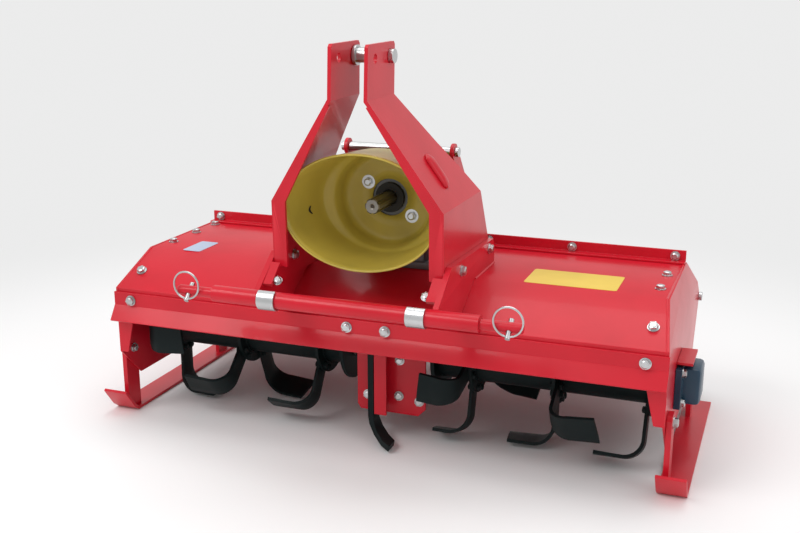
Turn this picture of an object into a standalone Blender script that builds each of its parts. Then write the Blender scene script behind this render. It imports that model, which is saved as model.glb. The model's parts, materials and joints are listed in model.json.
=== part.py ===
"""Rotary tiller for a compact tractor: hood, hitch mast, gearbox, rotor with tines, skids and tailgate.

Metres, +Z up, X across the machine, -Y towards the tractor. The skids stand on z = 0.
"""
import math

import bmesh
import bpy
from mathutils import Matrix, Vector

# ---- driving dimensions ----
PLATE_OUT = 0.648       # outer face of the end plates: the machine's width follows it
PLATE_T = 0.005         # end plates
GAP = 0.0003            # air left between two pieces that touch
FIT = 0.0008            # play between a pin and its hole, a side

HOOD_T = 0.005          # hood sheet
HOOD_TOP = 0.401        # top of the hood's flat
HOOD_LEAN = 0.0189      # how far the end plates lean in from the front bend up to the flat
EDGE_AIR = 0.0015       # air along the hood's ends, filled by the weld
HOOD_FRONT_Y = -0.310   # hood's upright front flange
HOOD_FRONT_LOW = 0.290  # lower edge of that flange
HOOD_BEND_Z = 0.327     # bend between the front flange and the slope
HOOD_BROW_Y = -0.188    # bend between the slope and the flat top
HOOD_BACK_Y = 0.124     # bend between the flat top and the rear slope
HOOD_TAIL_Y = 0.266     # rear edge of the hood
HOOD_TAIL_Z = 0.284

APRON_HALF = PLATE_OUT + 0.002
APRON_LIP_OUT = 0.0235  # how far the apron's lip flares forward
APRON_LIP_DROP = 0.035

ANGLE_T = 0.005         # angle iron on the hood's rear bend
ANGLE_HALF = PLATE_OUT - 0.0215
ANGLE_FOOT = 0.026
ANGLE_UP = 0.029

HOOD_LOW_HALF = PLATE_OUT - PLATE_T - EDGE_AIR
HOOD_TOP_HALF = HOOD_LOW_HALF - HOOD_LEAN
PLATE_LOW = 0.089       # lower edge
PLATE_CHIN_Z = 0.167    # where the front edge turns back under
PLATE_TAIL_Y = 0.283
PLATE_TAIL_Z = 0.274
PLATE_TOE_Y = 0.205
PLATE_FLANGE_TOP = 0.046    # width of the inward front flange at its top
PLATE_FLANGE_FOOT = 0.018

ROTOR_Y = -0.105        # rotor axis
ROTOR_Z = 0.197
ROTOR_TUBE_R = 0.061
ROTOR_TUBE_END = PLATE_OUT - 0.028
ROTOR_HUB_X = 0.108     # inner face of the hub flange
ROTOR_HUB_R = 0.094
ROTOR_STUB_R = 0.019
TINE_REACH = 0.192      # radius swept by the blades' corners
TINE_T = 0.008
TINE_WIDE = 0.074
TINE_NARROW = 0.050
TINE_BEND_R = 0.042
DISC_R = 0.088          # discs that carry the tines
DISC_T = 0.008

SKID_IN = PLATE_OUT - 0.012     # inner edge of the runner
SKID_OUT = PLATE_OUT + 0.052
SKID_T = 0.007
SKID_FRONT_Y = -0.267
SKID_BACK_Y = 0.267
SKID_NOSE_OUT = 0.050   # the turned up nose
SKID_NOSE_UP = 0.058
POST_T = 0.012
POST_TOP = 0.180

HOUSING_OUT = PLATE_OUT + 0.052 # outer face of the bearing housings
HOUSING_HALF = 0.066
HOUSING_HUB_R = 0.042

MAST_T = 0.008
MAST_TOP_X = 0.0395     # middle of the sheet, upper part
MAST_FOOT_X = 0.190     # middle of the sheet, lower part
MAST_TOP_Z = 0.917
MAST_BEND_Z = 0.807
MAST_KNEE_Z = 0.583
MAST_FLANGE = 0.028
TOP_PIN_Y = -0.279
TOP_PIN_Z = MAST_TOP_Z - 0.029
TOP_HOLE_Y = -0.360     # free holes for the tractor's top link
TOP_HOLE_R = 0.0098

BAR_Y = -0.448          # lower hitch bar
BAR_Z = 0.389
BAR_R = 0.018
BAR_SHOULDER = 0.297
BAR_END = 0.384
BAR_PIN_R = 0.011
CLAMP_X = 0.166
CLAMP_WIDE = 0.040
CLAMP_T = 0.005
PAD_INSET = 0.008       # inner edge of the bracket's flange, from the middle of the clamp
LINCH_X = 0.357
LINCH_R = 0.0055
LINCH_FRONT = 0.026     # how far the linch pin stands out in front
LINCH_BACK = 0.018
RING_R = 0.030
RING_WIRE = 0.0022
BRACKET_T = 0.012

SHAFT_Z = 0.567         # input shaft
SHAFT_R = 0.0175
SHAFT_END_Y = -0.277
SHAFT_DEPTH = 0.0030    # depth of a spline
SPLINES = 6
BOX_FRONT_Y = -0.163    # front face of the gearbox
BOX_BACK_Y = 0.045
BOX_HALF = 0.078
BOX_TOP = 0.655
CASE_HALF = 0.044       # drive case under the hood
CASE_R = 0.062
GUARD_T = 0.003         # bowl round the input shaft
GUARD_BACK_A = 0.117
GUARD_BACK_B = 0.110
GUARD_RIM_A = 0.175
GUARD_RIM_B = 0.124
GUARD_RIM_Y = -0.356
GUARD_HOLE_R = 0.042
SEAL_R = 0.034

SHIELD_Y = -0.191       # guard plate in front of the drive case
SHIELD_T = 0.005
SHIELD_LEFT = -0.075
SHIELD_RIGHT = 0.095
SHIELD_LOW = 0.057
POINT_T = 0.016         # fixed point that breaks the strip under the drive case
POINT_X = -0.027

GATE_T = 0.004          # tailgate
GATE_HALF = PLATE_OUT - 0.008
HINGE_Y = 0.284
HINGE_Z = 0.276
HINGE_TUBE_R = 0.010
HINGE_PIN_R = 0.006
GATE_LOW_Z = 0.090
GATE_BACK_Y = 0.335
ROD_TOP_Y = 0.095       # pivot of the tailgate's rod on the hood
ROD_TOP_Z = 0.475
ROD_LOW_Y = 0.365       # where the rod passes the tailgate's bracket
ROD_LOW_Z = 0.225
ROD_R = 0.006
ROD_EYE_R = 0.014
ROD_EYE_PIN_R = 0.006
EAR_T = 0.006
EAR_X = 0.013           # inner face of the two ears that hold the rod's eye

STAY_X = 0.128          # braces behind the mast
STAY_T = 0.008
STAY_TOP_Y = -0.105
STAY_TOP_Z = 0.667
CROSS_R = 0.0105

STEPS = 32              # sides of a turned piece

RED = (0.62, 0.010, 0.018)
OLIVE = (0.40, 0.32, 0.045)
BLACK = (0.012, 0.016, 0.018)
STEEL = (0.35, 0.36, 0.37)
ZINC = (0.62, 0.64, 0.66)
BLUE = (0.02, 0.07, 0.13)
FINISHES = {            # name: colour, roughness, metallic
    "red_paint": (RED, 0.22, 0.0),
    "olive_paint": (OLIVE, 0.35, 0.0),
    "black_paint": (BLACK, 0.45, 0.0),
    "bare_steel": (STEEL, 0.40, 1.0),
    "zinc": (ZINC, 0.30, 1.0),
    "blue_paint": (BLUE, 0.35, 0.0),
}


# ---- scene ----
for old in list(bpy.data.objects):
    bpy.data.objects.remove(old, do_unlink=True)

parts = bpy.data.collections.new("rotary_tiller")
cutters = bpy.data.collections.new("cutters")
bpy.context.scene.collection.children.link(parts)
bpy.context.scene.collection.children.link(cutters)


def finish_of(node, finish):
    """One Principled material for one sub-part."""
    colour, roughness, metallic = FINISHES[finish]
    material = bpy.data.materials.new(node + "_" + finish)
    material.use_nodes = True
    shader = material.node_tree.nodes["Principled BSDF"]
    shader.inputs["Base Color"].default_value = (*colour, 1.0)
    shader.inputs["Roughness"].default_value = roughness
    shader.inputs["Metallic"].default_value = metallic
    return material


def place(obj, finish=None, cutter=False):
    """Put a new object in its collection, with its material."""
    (cutters if cutter else parts).objects.link(obj)
    if cutter:
        obj.hide_render = True
        obj.display_type = 'WIRE'
    elif finish:
        obj.data.materials.clear()
        obj.data.materials.append(finish_of(obj.name, finish))
    return obj


def pivot_at(obj, point):
    """Set an object's origin on its joint's axis; its shape stays where it is."""
    bpy.context.view_layer.update()
    before = obj.matrix_world.copy()
    after = before.copy()
    after.translation = point
    obj.data.transform(after.inverted() @ before)
    obj.matrix_world = after


def from_bmesh(name, bm, finish=None, cutter=False):
    mesh = bpy.data.meshes.new(name)
    bm.to_mesh(mesh)
    bm.free()
    return place(bpy.data.objects.new(name, mesh), finish, cutter)


def block(name, low, high, finish=None, cutter=False, bevel=0.0):
    """A box between two corners, its edges rounded by a Bevel."""
    bm = bmesh.new()
    bmesh.ops.create_cube(bm, size=1.0)
    size = [h - l for l, h in zip(low, high)]
    bmesh.ops.scale(bm, vec=size, verts=bm.verts)
    obj = from_bmesh(name, bm, finish, cutter)
    obj.location = [(h + l) / 2 for l, h in zip(low, high)]
    if bevel:
        edge = obj.modifiers.new("rounded", 'BEVEL')
        edge.width = bevel
        edge.segments = 2
    return obj


def rod_along(name, centre, axis, radius, length, finish=None, cutter=False, sides=STEPS):
    """A plain round bar centred on a point, along 'X', 'Y', 'Z' or a vector."""
    bm = bmesh.new()
    bmesh.ops.create_cone(bm, cap_ends=True, segments=sides, radius1=radius, radius2=radius, depth=length)
    obj = from_bmesh(name, bm, finish, cutter)
    if isinstance(axis, str):
        axis = Vector([float(letter == axis) for letter in 'XYZ'])
    obj.matrix_world = Matrix.Translation(centre) @ axis.to_track_quat('Z', 'Y').to_matrix().to_4x4()
    return obj


def side_plate(name, outline, x_low, x_high, finish=None, cutter=False):
    """A flat plate standing fore and aft: its outline is (y, z), its faces at x_low and x_high."""
    return flat_plate(name, outline, x_low, x_high, (math.pi / 2, 0, math.pi / 2), 0, finish, cutter)


def front_plate(name, outline, y_low, y_high, finish=None, cutter=False):
    """A flat plate facing the tractor: its outline is (x, z), its faces at y_low and y_high."""
    return flat_plate(name, outline, y_low, y_high, (math.pi / 2, 0, 0), 1, finish, cutter)


def flat_plate(name, outline, low, high, turn, axis, finish, cutter):
    curve = bpy.data.curves.new(name, 'CURVE')
    curve.dimensions = '2D'
    curve.fill_mode = 'BOTH'
    curve.extrude = (high - low) / 2
    spline = curve.splines.new('POLY')
    spline.points.add(len(outline) - 1)
    for point, (across, up) in zip(spline.points, outline):
        point.co = (across, up, 0, 1)
    spline.use_cyclic_u = True
    obj = bpy.data.objects.new(name, curve)
    place(obj, finish, cutter)
    obj.rotation_euler = turn
    obj.location[axis] = (low + high) / 2
    return as_mesh(obj)


def as_mesh(obj):
    """Turn a curve object into a mesh object of the same name and place, its caps welded on."""
    bpy.context.view_layer.update()
    evaluated = obj.evaluated_get(bpy.context.evaluated_depsgraph_get())
    mesh = bpy.data.meshes.new_from_object(evaluated)
    weld(mesh)
    name, matrix, hidden = obj.name, obj.matrix_world.copy(), obj.hide_render
    home = obj.users_collection[0]
    bpy.data.objects.remove(obj, do_unlink=True)
    new = bpy.data.objects.new(name, mesh)
    home.objects.link(new)
    new.matrix_world = matrix
    new.hide_render = hidden
    if hidden:
        new.display_type = 'WIRE'
    return new


def weld(mesh):
    bm = bmesh.new()
    bm.from_mesh(mesh)
    bmesh.ops.remove_doubles(bm, verts=bm.verts, dist=1e-5)
    bmesh.ops.recalc_face_normals(bm, faces=bm.faces)
    bm.to_mesh(mesh)
    bm.free()


def bent_sheet(name, stations, thickness, finish=None, cutter=False):
    """A folded sheet: each station is (half width low, half width high, y, z) from one edge to the other."""
    bm = bmesh.new()
    rows = [(bm.verts.new((x0, y, z)), bm.verts.new((x1, y, z))) for x0, x1, y, z in stations]
    for (a, b), (c, d) in zip(rows, rows[1:]):
        bm.faces.new((a, b, d, c))
    obj = from_bmesh(name, bm, finish, cutter)
    wall = obj.modifiers.new("sheet", 'SOLIDIFY')
    wall.thickness = thickness
    wall.offset = 0.0
    wall.use_even_offset = True
    return obj


def turned(name, profile, centre, axis, finish, cutter=False):
    """A lathe piece: profile is (radius, place along the axis), from one end of the axis to the other."""
    mesh = bpy.data.meshes.new(name)
    if profile[0][1] < profile[-1][1]:
        profile = profile[::-1]
    rows = [(radius, 0.0, along) for radius, along in profile]
    mesh.from_pydata(rows, [(i, i + 1) for i in range(len(rows) - 1)], [])
    obj = place(bpy.data.objects.new(name, mesh), finish, cutter)
    screw = obj.modifiers.new("turned", 'SCREW')
    screw.steps = STEPS
    screw.render_steps = STEPS
    screw.use_merge_vertices = True
    screw.merge_threshold = 1e-5
    screw.use_smooth_shade = True
    obj.location = centre
    if axis == 'X':
        obj.rotation_euler = (0, math.pi / 2, 0)
    elif axis == 'Y':
        obj.rotation_euler = (-math.pi / 2, 0, 0)
    return obj


def combine(obj, other, operation):
    """Cut, join or keep the common part of two bodies, for good."""
    boolean = obj.modifiers.new(operation.lower(), 'BOOLEAN')
    boolean.operation = operation
    boolean.solver = 'EXACT'
    boolean.object = other
    bpy.context.view_layer.update()
    evaluated = obj.evaluated_get(bpy.context.evaluated_depsgraph_get())
    mesh = bpy.data.meshes.new_from_object(evaluated)
    obj.modifiers.clear()
    old = obj.data
    obj.data = mesh
    if not mesh.materials and old.materials:
        mesh.materials.append(old.materials[0])
    bpy.data.objects.remove(other, do_unlink=True)
    return obj


def add(obj, other):
    return combine(obj, other, 'UNION')


def cut(obj, other):
    return combine(obj, other, 'DIFFERENCE')


def common(obj, other):
    return combine(obj, other, 'INTERSECT')


def arc(centre, radius, start, stop, count):
    """Points of an arc, angles in degrees."""
    steps = [math.radians(start + (stop - start) * i / (count - 1)) for i in range(count)]
    return [(centre[0] + radius * math.cos(a), centre[1] + radius * math.sin(a)) for a in steps]


def hood_half(z):
    """Half width of the hood at a height: the end plates lean in above the front bend."""
    share = (z - HOOD_BEND_Z) / (HOOD_TOP - HOOD_T / 2 - HOOD_BEND_Z)
    return HOOD_LOW_HALF - max(0.0, share) * (HOOD_LOW_HALF - HOOD_TOP_HALF)


SIDES = {"left": -1, "right": 1}


# ---- hood and ends ----
def build_hood():
    """The folded sheet over the rotor, with the angle iron and the apron bolted on."""
    mid_top = HOOD_TOP - HOOD_T / 2
    profile = [                         # y, z of the middle of the sheet
        (HOOD_FRONT_Y, HOOD_FRONT_LOW),
        (HOOD_FRONT_Y, HOOD_BEND_Z),
        (HOOD_BROW_Y, mid_top),
        (HOOD_BACK_Y, mid_top),
        (HOOD_TAIL_Y, HOOD_TAIL_Z),
    ]
    bent_sheet("hood", [(-hood_half(z), hood_half(z), y, z) for y, z in profile], HOOD_T, "red_paint")

    apron_y = HOOD_FRONT_Y - HOOD_T - 2 * GAP
    bend_z = HOOD_FRONT_LOW - 0.002
    bent_sheet("front_apron", [
        (-APRON_HALF, APRON_HALF, apron_y, HOOD_BEND_Z - 0.007),
        (-APRON_HALF, APRON_HALF, apron_y, bend_z),
        (-APRON_HALF, APRON_HALF, apron_y - APRON_LIP_OUT, bend_z - APRON_LIP_DROP),
    ], HOOD_T, "red_paint")

    foot_z = HOOD_TOP + ANGLE_T / 2 + GAP
    bent_sheet("rear_angle", [
        (-ANGLE_HALF, ANGLE_HALF, HOOD_BACK_Y - ANGLE_FOOT, foot_z),
        (-ANGLE_HALF, ANGLE_HALF, HOOD_BACK_Y - ANGLE_T / 2, foot_z),
        (-ANGLE_HALF, ANGLE_HALF, HOOD_BACK_Y - ANGLE_T / 2, HOOD_TOP + ANGLE_UP),
    ], ANGLE_T, "red_paint")


def plate_outline():
    """Outline (y, z) of an end plate: it follows the hood on top and clears the ground below."""
    front = HOOD_FRONT_Y - HOOD_T / 2
    return [
        (front, PLATE_CHIN_Z),
        (front, HOOD_BEND_Z + 0.002),
        (HOOD_BROW_Y, HOOD_TOP),
        (HOOD_BACK_Y + 0.003, HOOD_TOP),
        (PLATE_TAIL_Y + 0.004, PLATE_TAIL_Z + 0.018),
        (PLATE_TAIL_Y + 0.017, PLATE_TAIL_Z),
        (PLATE_TAIL_Y + 0.012, PLATE_TAIL_Z - 0.020),
        (PLATE_TOE_Y, PLATE_LOW + 0.018),
        (PLATE_TOE_Y - 0.016, PLATE_LOW),
        (front + 0.075, PLATE_LOW),
    ]


def build_end_plates():
    """Folded plates that close the hood's ends and carry the rotor, the skids and the tailgate."""
    mid_low = PLATE_OUT - PLATE_T / 2
    mid_top = mid_low - (HOOD_LOW_HALF - HOOD_TOP_HALF)
    rise = HOOD_TOP - HOOD_T / 2 - HOOD_BEND_Z
    for side, s in SIDES.items():
        name = "end_plate_" + side
        reach = (HOOD_FRONT_Y - 0.05, PLATE_TAIL_Y + 0.05)
        section = [                     # x, z of the middle of the plate
            (mid_low, PLATE_LOW - 0.02),
            (mid_low, HOOD_BEND_Z),
            (mid_top - 0.25 * (mid_low - mid_top), HOOD_TOP - HOOD_T / 2 + 0.25 * rise),
        ]
        bm = bmesh.new()
        rows = [[bm.verts.new((s * x, y, z)) for y in reach] for x, z in section]
        for (a, b), (c, d) in zip(rows, rows[1:]):
            bm.faces.new((a, b, d, c))
        plate = from_bmesh(name, bm, "red_paint")
        wall = plate.modifiers.new("sheet", 'SOLIDIFY')
        wall.thickness = PLATE_T
        wall.offset = 0.0
        low, high = sorted((s * (HOOD_TOP_HALF - 0.02), s * (PLATE_OUT + 0.01)))
        common(plate, side_plate(name + "_outline", plate_outline(), low, high, cutter=True))

        front = HOOD_FRONT_Y
        top = HOOD_FRONT_LOW - 0.002
        inner = PLATE_OUT - PLATE_T
        flange = [
            (s * (inner - PLATE_FLANGE_TOP), top),
            (s * (inner + 0.002), top),
            (s * (inner + 0.002), PLATE_CHIN_Z),
            (s * (inner - PLATE_FLANGE_FOOT), PLATE_CHIN_Z),
        ]
        half = HOOD_T / 2
        add(plate, front_plate(name + "_flange", flange, front - half, front + half, cutter=True))
        cut(plate, rod_along(name + "_bore", (s * PLATE_OUT, ROTOR_Y, ROTOR_Z), 'X', ROTOR_STUB_R + 0.008,
                             0.05, cutter=True))
        cut(plate, rod_along(name + "_hinge", (s * PLATE_OUT, HINGE_Y, HINGE_Z), 'X', HINGE_PIN_R + FIT,
                             0.05, cutter=True, sides=16))


def build_bearings():
    """Bearing housings outside the end plates, each with a small rain cover above it."""
    for side, s in SIDES.items():
        face = PLATE_OUT + GAP
        low, high = sorted((s * face, s * (face + 0.014)))
        name = "bearing_housing_" + side
        half = HOUSING_HALF
        housing = block(name, (low, ROTOR_Y - half, ROTOR_Z - half * 0.68),
                        (high, ROTOR_Y + half, ROTOR_Z + half * 0.68), "blue_paint")
        length = HOUSING_OUT - face
        low, high = sorted((s * (face + 0.004), s * HOUSING_OUT))
        reach = HOUSING_HUB_R
        add(housing, block(name + "_hub", (low, ROTOR_Y - reach, ROTOR_Z - reach),
                           (high, ROTOR_Y + reach, ROTOR_Z + reach), cutter=True, bevel=0.010))
        cut(housing, rod_along(name + "_bore", (s * (face + length / 2 - 0.008), ROTOR_Y, ROTOR_Z), 'X',
                               ROTOR_STUB_R + FIT, length, cutter=True))

        cover_z = ROTOR_Z + half * 0.68 + 0.006
        low, high = sorted((s * face, s * (face + 0.034)))
        block("bearing_cover_" + side, (low, ROTOR_Y - 0.050, cover_z),
              (high, ROTOR_Y + 0.050, cover_z + 0.006), "red_paint")


def build_skids():
    """Runners with a turned up nose, each hung on two posts bolted outside the end plate."""
    for side, s in SIDES.items():
        mid = SKID_T / 2
        x0, x1 = sorted((s * SKID_IN, s * SKID_OUT))
        skid = bent_sheet("skid_" + side, [
            (x0, x1, SKID_FRONT_Y - SKID_NOSE_OUT, mid + SKID_NOSE_UP),
            (x0, x1, SKID_FRONT_Y - 0.016, mid + 0.012),
            (x0, x1, SKID_FRONT_Y, mid),
            (x0, x1, SKID_BACK_Y, mid),
        ], SKID_T, "red_paint")
        posts = [                       # y of the front edge, y of the back edge, top, foot's run forward
            (-0.290, -0.240, POST_TOP, 0.030),
            (0.150, 0.195, 0.135, 0.0),
        ]
        low, high = sorted((s * (PLATE_OUT + GAP), s * (PLATE_OUT + GAP + POST_T)))
        for i, (front, back, top, run) in enumerate(posts):
            outline = [(front + run, SKID_T * 0.6), (back, SKID_T * 0.6), (back, top - 0.008),
                       (back - 0.008, top), (front + 0.008, top), (front, top - 0.008),
                       (front, SKID_T + run * 1.2)]
            if not run:
                outline.pop()
            add(skid, side_plate(f"post_{side}_{i}", outline, low, high, cutter=True))


# ---- rotor ----
LEG = 0.112             # length of a blade along the rotor
SHORT_LEG = 0.088       # the blades next to the drive case
STATIONS = [            # x of each disc of tines
    -(PLATE_OUT - 0.048), -(PLATE_OUT + 0.127) / 2, -0.180,
    0.200, (PLATE_OUT + 0.137) / 2, PLATE_OUT - 0.048,
]
TINES = [               # disc, way the blade points along x, leg, angle from forward through down
    (1, 1, LEG, 0), (1, 1, LEG, 90), (1, 1, LEG, 180), (1, 1, LEG, 270),
    (2, -1, LEG, 42), (2, 1, LEG, 112), (2, -1, LEG, 222), (2, 1, LEG, 292),
    (3, -1, LEG, 58), (3, 1, SHORT_LEG, 150), (3, -1, LEG, 238), (3, 1, SHORT_LEG, 330),
    (4, -1, SHORT_LEG, 74), (4, 1, LEG, 145), (4, -1, SHORT_LEG, 12), (4, 1, LEG, 325),
    (5, 1, LEG, 28), (5, -1, LEG, 86), (5, 1, LEG, 208), (5, -1, LEG, 266),
    (6, -1, LEG, 66), (6, -1, LEG, 156), (6, -1, LEG, 246), (6, -1, LEG, 336),
]


def tine(station, way, leg, angle, bm):
    """One bolted blade: a radial shank that turns along the rotor and sweeps back a little."""
    reach = math.sqrt(TINE_REACH ** 2 - (TINE_WIDE / 2) ** 2) - TINE_T / 2
    bend = TINE_BEND_R
    rows = [(0.0, DISC_R * 0.55, TINE_NARROW, 0.0), (0.0, reach - bend, TINE_NARROW, 0.0)]
    for i in range(1, 5):
        a = math.radians(90 * i / 4)
        rows.append((bend * (1 - math.cos(a)), reach - bend + bend * math.sin(a),
                     TINE_NARROW + (TINE_WIDE - TINE_NARROW) * i / 4, 2.0 * i / 4))
    rows.append((leg * 0.72, reach, TINE_WIDE, 3.0))
    rows.append((leg, reach - 0.002, TINE_WIDE * 0.94, 4.0))
    side = DISC_T / 2 + TINE_T / 2 - 0.0005
    inner, outer = [], []
    for along, radius, width, sweep in rows:
        lead = math.radians(angle - sweep)
        radial = Vector((0, -math.cos(lead), -math.sin(lead)))
        tangent = Vector((0, math.sin(lead), -math.cos(lead)))
        centre = Vector((station + way * (along + side), ROTOR_Y, ROTOR_Z)) + radial * radius
        inner.append(bm.verts.new(centre - tangent * width / 2))
        outer.append(bm.verts.new(centre + tangent * width / 2))
    for i in range(len(rows) - 1):
        bm.faces.new((inner[i], outer[i], outer[i + 1], inner[i + 1]))


def build_rotor():
    """Two flanged tube halves on the shaft through the drive case, and six discs of tines."""
    for side, s in SIDES.items():
        stub_end = HOUSING_OUT - 0.012
        profile = [                     # radius, x
            (0.0, ROTOR_HUB_X), (ROTOR_HUB_R, ROTOR_HUB_X), (ROTOR_HUB_R, ROTOR_HUB_X + 0.010),
            (ROTOR_TUBE_R, ROTOR_HUB_X + 0.010), (ROTOR_TUBE_R, ROTOR_TUBE_END),
            (ROTOR_STUB_R, ROTOR_TUBE_END + 0.006), (ROTOR_STUB_R, stub_end), (0.0, stub_end),
        ]
        mirrored = [(radius, s * x) for radius, x in profile]
        turned("rotor_tube_" + side, mirrored, (0, ROTOR_Y, ROTOR_Z), 'X', "black_paint")

    hub = ROTOR_HUB_X - GAP
    turned("rotor_drive_shaft", [
        (0.0, -hub), (0.040, -hub), (0.040, -hub + 0.012), (0.0275, -hub + 0.012),
        (0.0275, hub - 0.012), (0.040, hub - 0.012), (0.040, hub), (0.0, hub),
    ], (0, ROTOR_Y, ROTOR_Z), 'X', "bare_steel")

    for number, station in enumerate(STATIONS, 1):
        name = f"tine_set_{number}"
        disc = rod_along(name, (station, ROTOR_Y, ROTOR_Z), 'X', DISC_R, DISC_T, "black_paint", sides=24)
        for i, (disc_number, way, leg, angle) in enumerate(TINES):
            if disc_number != number:
                continue
            bm = bmesh.new()
            tine(station, way, leg, angle, bm)
            blade = from_bmesh(f"{name}_{i}", bm, cutter=True)
            wall = blade.modifiers.new("blade", 'SOLIDIFY')
            wall.thickness = TINE_T
            wall.offset = 0.0
            add(disc, blade)
        cut(disc, rod_along(name + "_bore", (station, ROTOR_Y, ROTOR_Z), 'X', ROTOR_TUBE_R + GAP, 0.3,
                            cutter=True))


# ---- drive ----
def build_drive():
    """Gearbox on the hood, splined input shaft, drive case below, its shield and the fixed point."""
    base_z = HOOD_TOP + GAP
    gearbox = block("gearbox", (-BOX_HALF, BOX_FRONT_Y + 0.012, base_z + 0.006),
                    (BOX_HALF, BOX_BACK_Y, BOX_TOP), "bare_steel", bevel=0.014)
    add(gearbox, block("box_base", (-BOX_HALF - 0.022, BOX_FRONT_Y + 0.010, base_z),
                       (BOX_HALF + 0.022, BOX_BACK_Y + 0.020, base_z + 0.016), cutter=True))
    add(gearbox, rod_along("box_nose", (0, BOX_FRONT_Y + 0.015, SHAFT_Z), 'Y', 0.062, 0.030, cutter=True))
    add(gearbox, rod_along("box_cap", (0, BOX_BACK_Y + 0.004, SHAFT_Z), 'Y', 0.055, 0.020, cutter=True))

    seal_back = BOX_FRONT_Y - GAP
    seal_front = seal_back - 0.010
    seal = turned("shaft_seal", [
        (0.0, seal_front), (SEAL_R, seal_front), (SEAL_R, seal_back), (0.0, seal_back),
    ], (0, 0, SHAFT_Z), 'Y', "black_paint")
    cut(seal, rod_along("seal_bore", (0, seal_back, SHAFT_Z), 'Y', SHAFT_R + FIT, 0.1, cutter=True))

    spline = []
    for i in range(SPLINES):
        root = SHAFT_R - SHAFT_DEPTH
        for share, radius in ((-0.30, SHAFT_R), (0.0, SHAFT_R), (0.30, SHAFT_R), (0.38, root), (0.62, root)):
            a = 2 * math.pi * (i + share) / SPLINES
            spline.append((radius * math.cos(a), SHAFT_Z + radius * math.sin(a)))
    shaft = front_plate("input_shaft", spline, SHAFT_END_Y, BOX_FRONT_Y - 2 * GAP, "bare_steel")
    pivot_at(shaft, (0, shaft.location.y, SHAFT_Z))

    build_guard()

    top = HOOD_TOP - HOOD_T - GAP
    low_arc = arc((ROTOR_Y, ROTOR_Z), CASE_R, -180, 0, 13)
    case = side_plate("drive_case", low_arc + [(ROTOR_Y + CASE_R, top), (ROTOR_Y - CASE_R, top)],
                      -CASE_HALF, CASE_HALF, "bare_steel")
    cut(case, rod_along("case_bore", (0, ROTOR_Y, ROTOR_Z), 'X', 0.0275 + FIT, 0.2, cutter=True))

    build_shield()


def build_guard():
    """The oval sheet bowl round the input shaft, open towards the tractor."""
    rings = [                           # y, half width, half height
        (BOX_FRONT_Y - 0.0025, GUARD_HOLE_R, GUARD_HOLE_R),
        (BOX_FRONT_Y - 0.0025, GUARD_BACK_A, GUARD_BACK_B),
        (BOX_FRONT_Y - 0.035, GUARD_BACK_A + 0.010, GUARD_BACK_B + 0.006),
        (BOX_FRONT_Y - 0.070, GUARD_BACK_A + 0.032, GUARD_BACK_B + 0.011),
        (GUARD_RIM_Y, GUARD_RIM_A, GUARD_RIM_B),
    ]
    bm = bmesh.new()
    loops = []
    for y, a, b in rings:
        loops.append([bm.verts.new((a * math.cos(t), y, SHAFT_Z + b * math.sin(t)))
                      for t in (2 * math.pi * i / 40 for i in range(40))])
    for one, two in zip(loops, loops[1:]):
        for i in range(40):
            j = (i + 1) % 40
            bm.faces.new((one[i], one[j], two[j], two[i]))
    guard = from_bmesh("input_guard", bm, "olive_paint")
    wall = guard.modifiers.new("sheet", 'SOLIDIFY')
    wall.thickness = GUARD_T
    wall.offset = 0.0
    guard.data.shade_smooth()


def build_shield():
    """Guard plate in front of the drive case, with the channel that clamps the fixed point."""
    back = SHIELD_Y + SHIELD_T
    top = HOOD_TOP - HOOD_T - GAP - 0.008
    neck = CASE_HALF
    shoulder = 0.290
    outline = [
        (SHIELD_LEFT, SHIELD_LOW + 0.012), (SHIELD_LEFT + 0.008, SHIELD_LOW),
        (SHIELD_RIGHT - 0.018, SHIELD_LOW), (SHIELD_RIGHT, SHIELD_LOW + 0.018),
        (SHIELD_RIGHT, shoulder - 0.03), (neck, shoulder), (neck, top),
        (-neck, top), (-neck, shoulder), (SHIELD_LEFT, shoulder - 0.02),
    ]
    shield = front_plate("drive_shield", outline, SHIELD_Y, back, "red_paint")
    side = POINT_X + POINT_T / 2 + GAP
    front = SHIELD_Y - 0.036
    low = SHIELD_LOW + 0.006
    high = shoulder - 0.012
    add(shield, block("channel_a", (side, front, low), (side + 0.005, SHIELD_Y + 0.001, high), cutter=True))
    add(shield, block("channel_b", (side, front, low), (side + 0.030, front + 0.005, high), cutter=True))

    point_y = SHIELD_Y - 0.002 - 0.036 / 2
    rows = [                            # x, y, z, width
        (POINT_X, point_y, shoulder - 0.014, 0.034),
        (POINT_X, point_y, SHIELD_LOW, 0.034),
        (POINT_X + 0.004, point_y - 0.004, SHIELD_LOW - 0.014, 0.036),
        (POINT_X + 0.020, point_y - 0.020, SHIELD_LOW - 0.030, 0.038),
        (POINT_X + 0.048, point_y - 0.048, SHIELD_LOW - 0.040, 0.040),
        (POINT_X + 0.070, point_y - 0.064, SHIELD_LOW - 0.0445, 0.036),
    ]
    bm = bmesh.new()
    pairs = []
    for x, y, z, width in rows:
        pairs.append((bm.verts.new((x, y - width / 2, z)), bm.verts.new((x, y + width / 2, z))))
    for (a, b), (c, d) in zip(pairs, pairs[1:]):
        bm.faces.new((a, b, d, c))
    point = from_bmesh("fixed_point", bm, "black_paint")
    wall = point.modifiers.new("bar", 'SOLIDIFY')
    wall.thickness = POINT_T * 0.9
    wall.offset = 0.0


# ---- hitch ----
def mast_x(z):
    """Middle of a mast plate's sheet at a height."""
    share = (MAST_BEND_Z - z) / (MAST_BEND_Z - MAST_KNEE_Z)
    return MAST_TOP_X + min(1.0, max(0.0, share)) * (MAST_FOOT_X - MAST_TOP_X)


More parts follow.
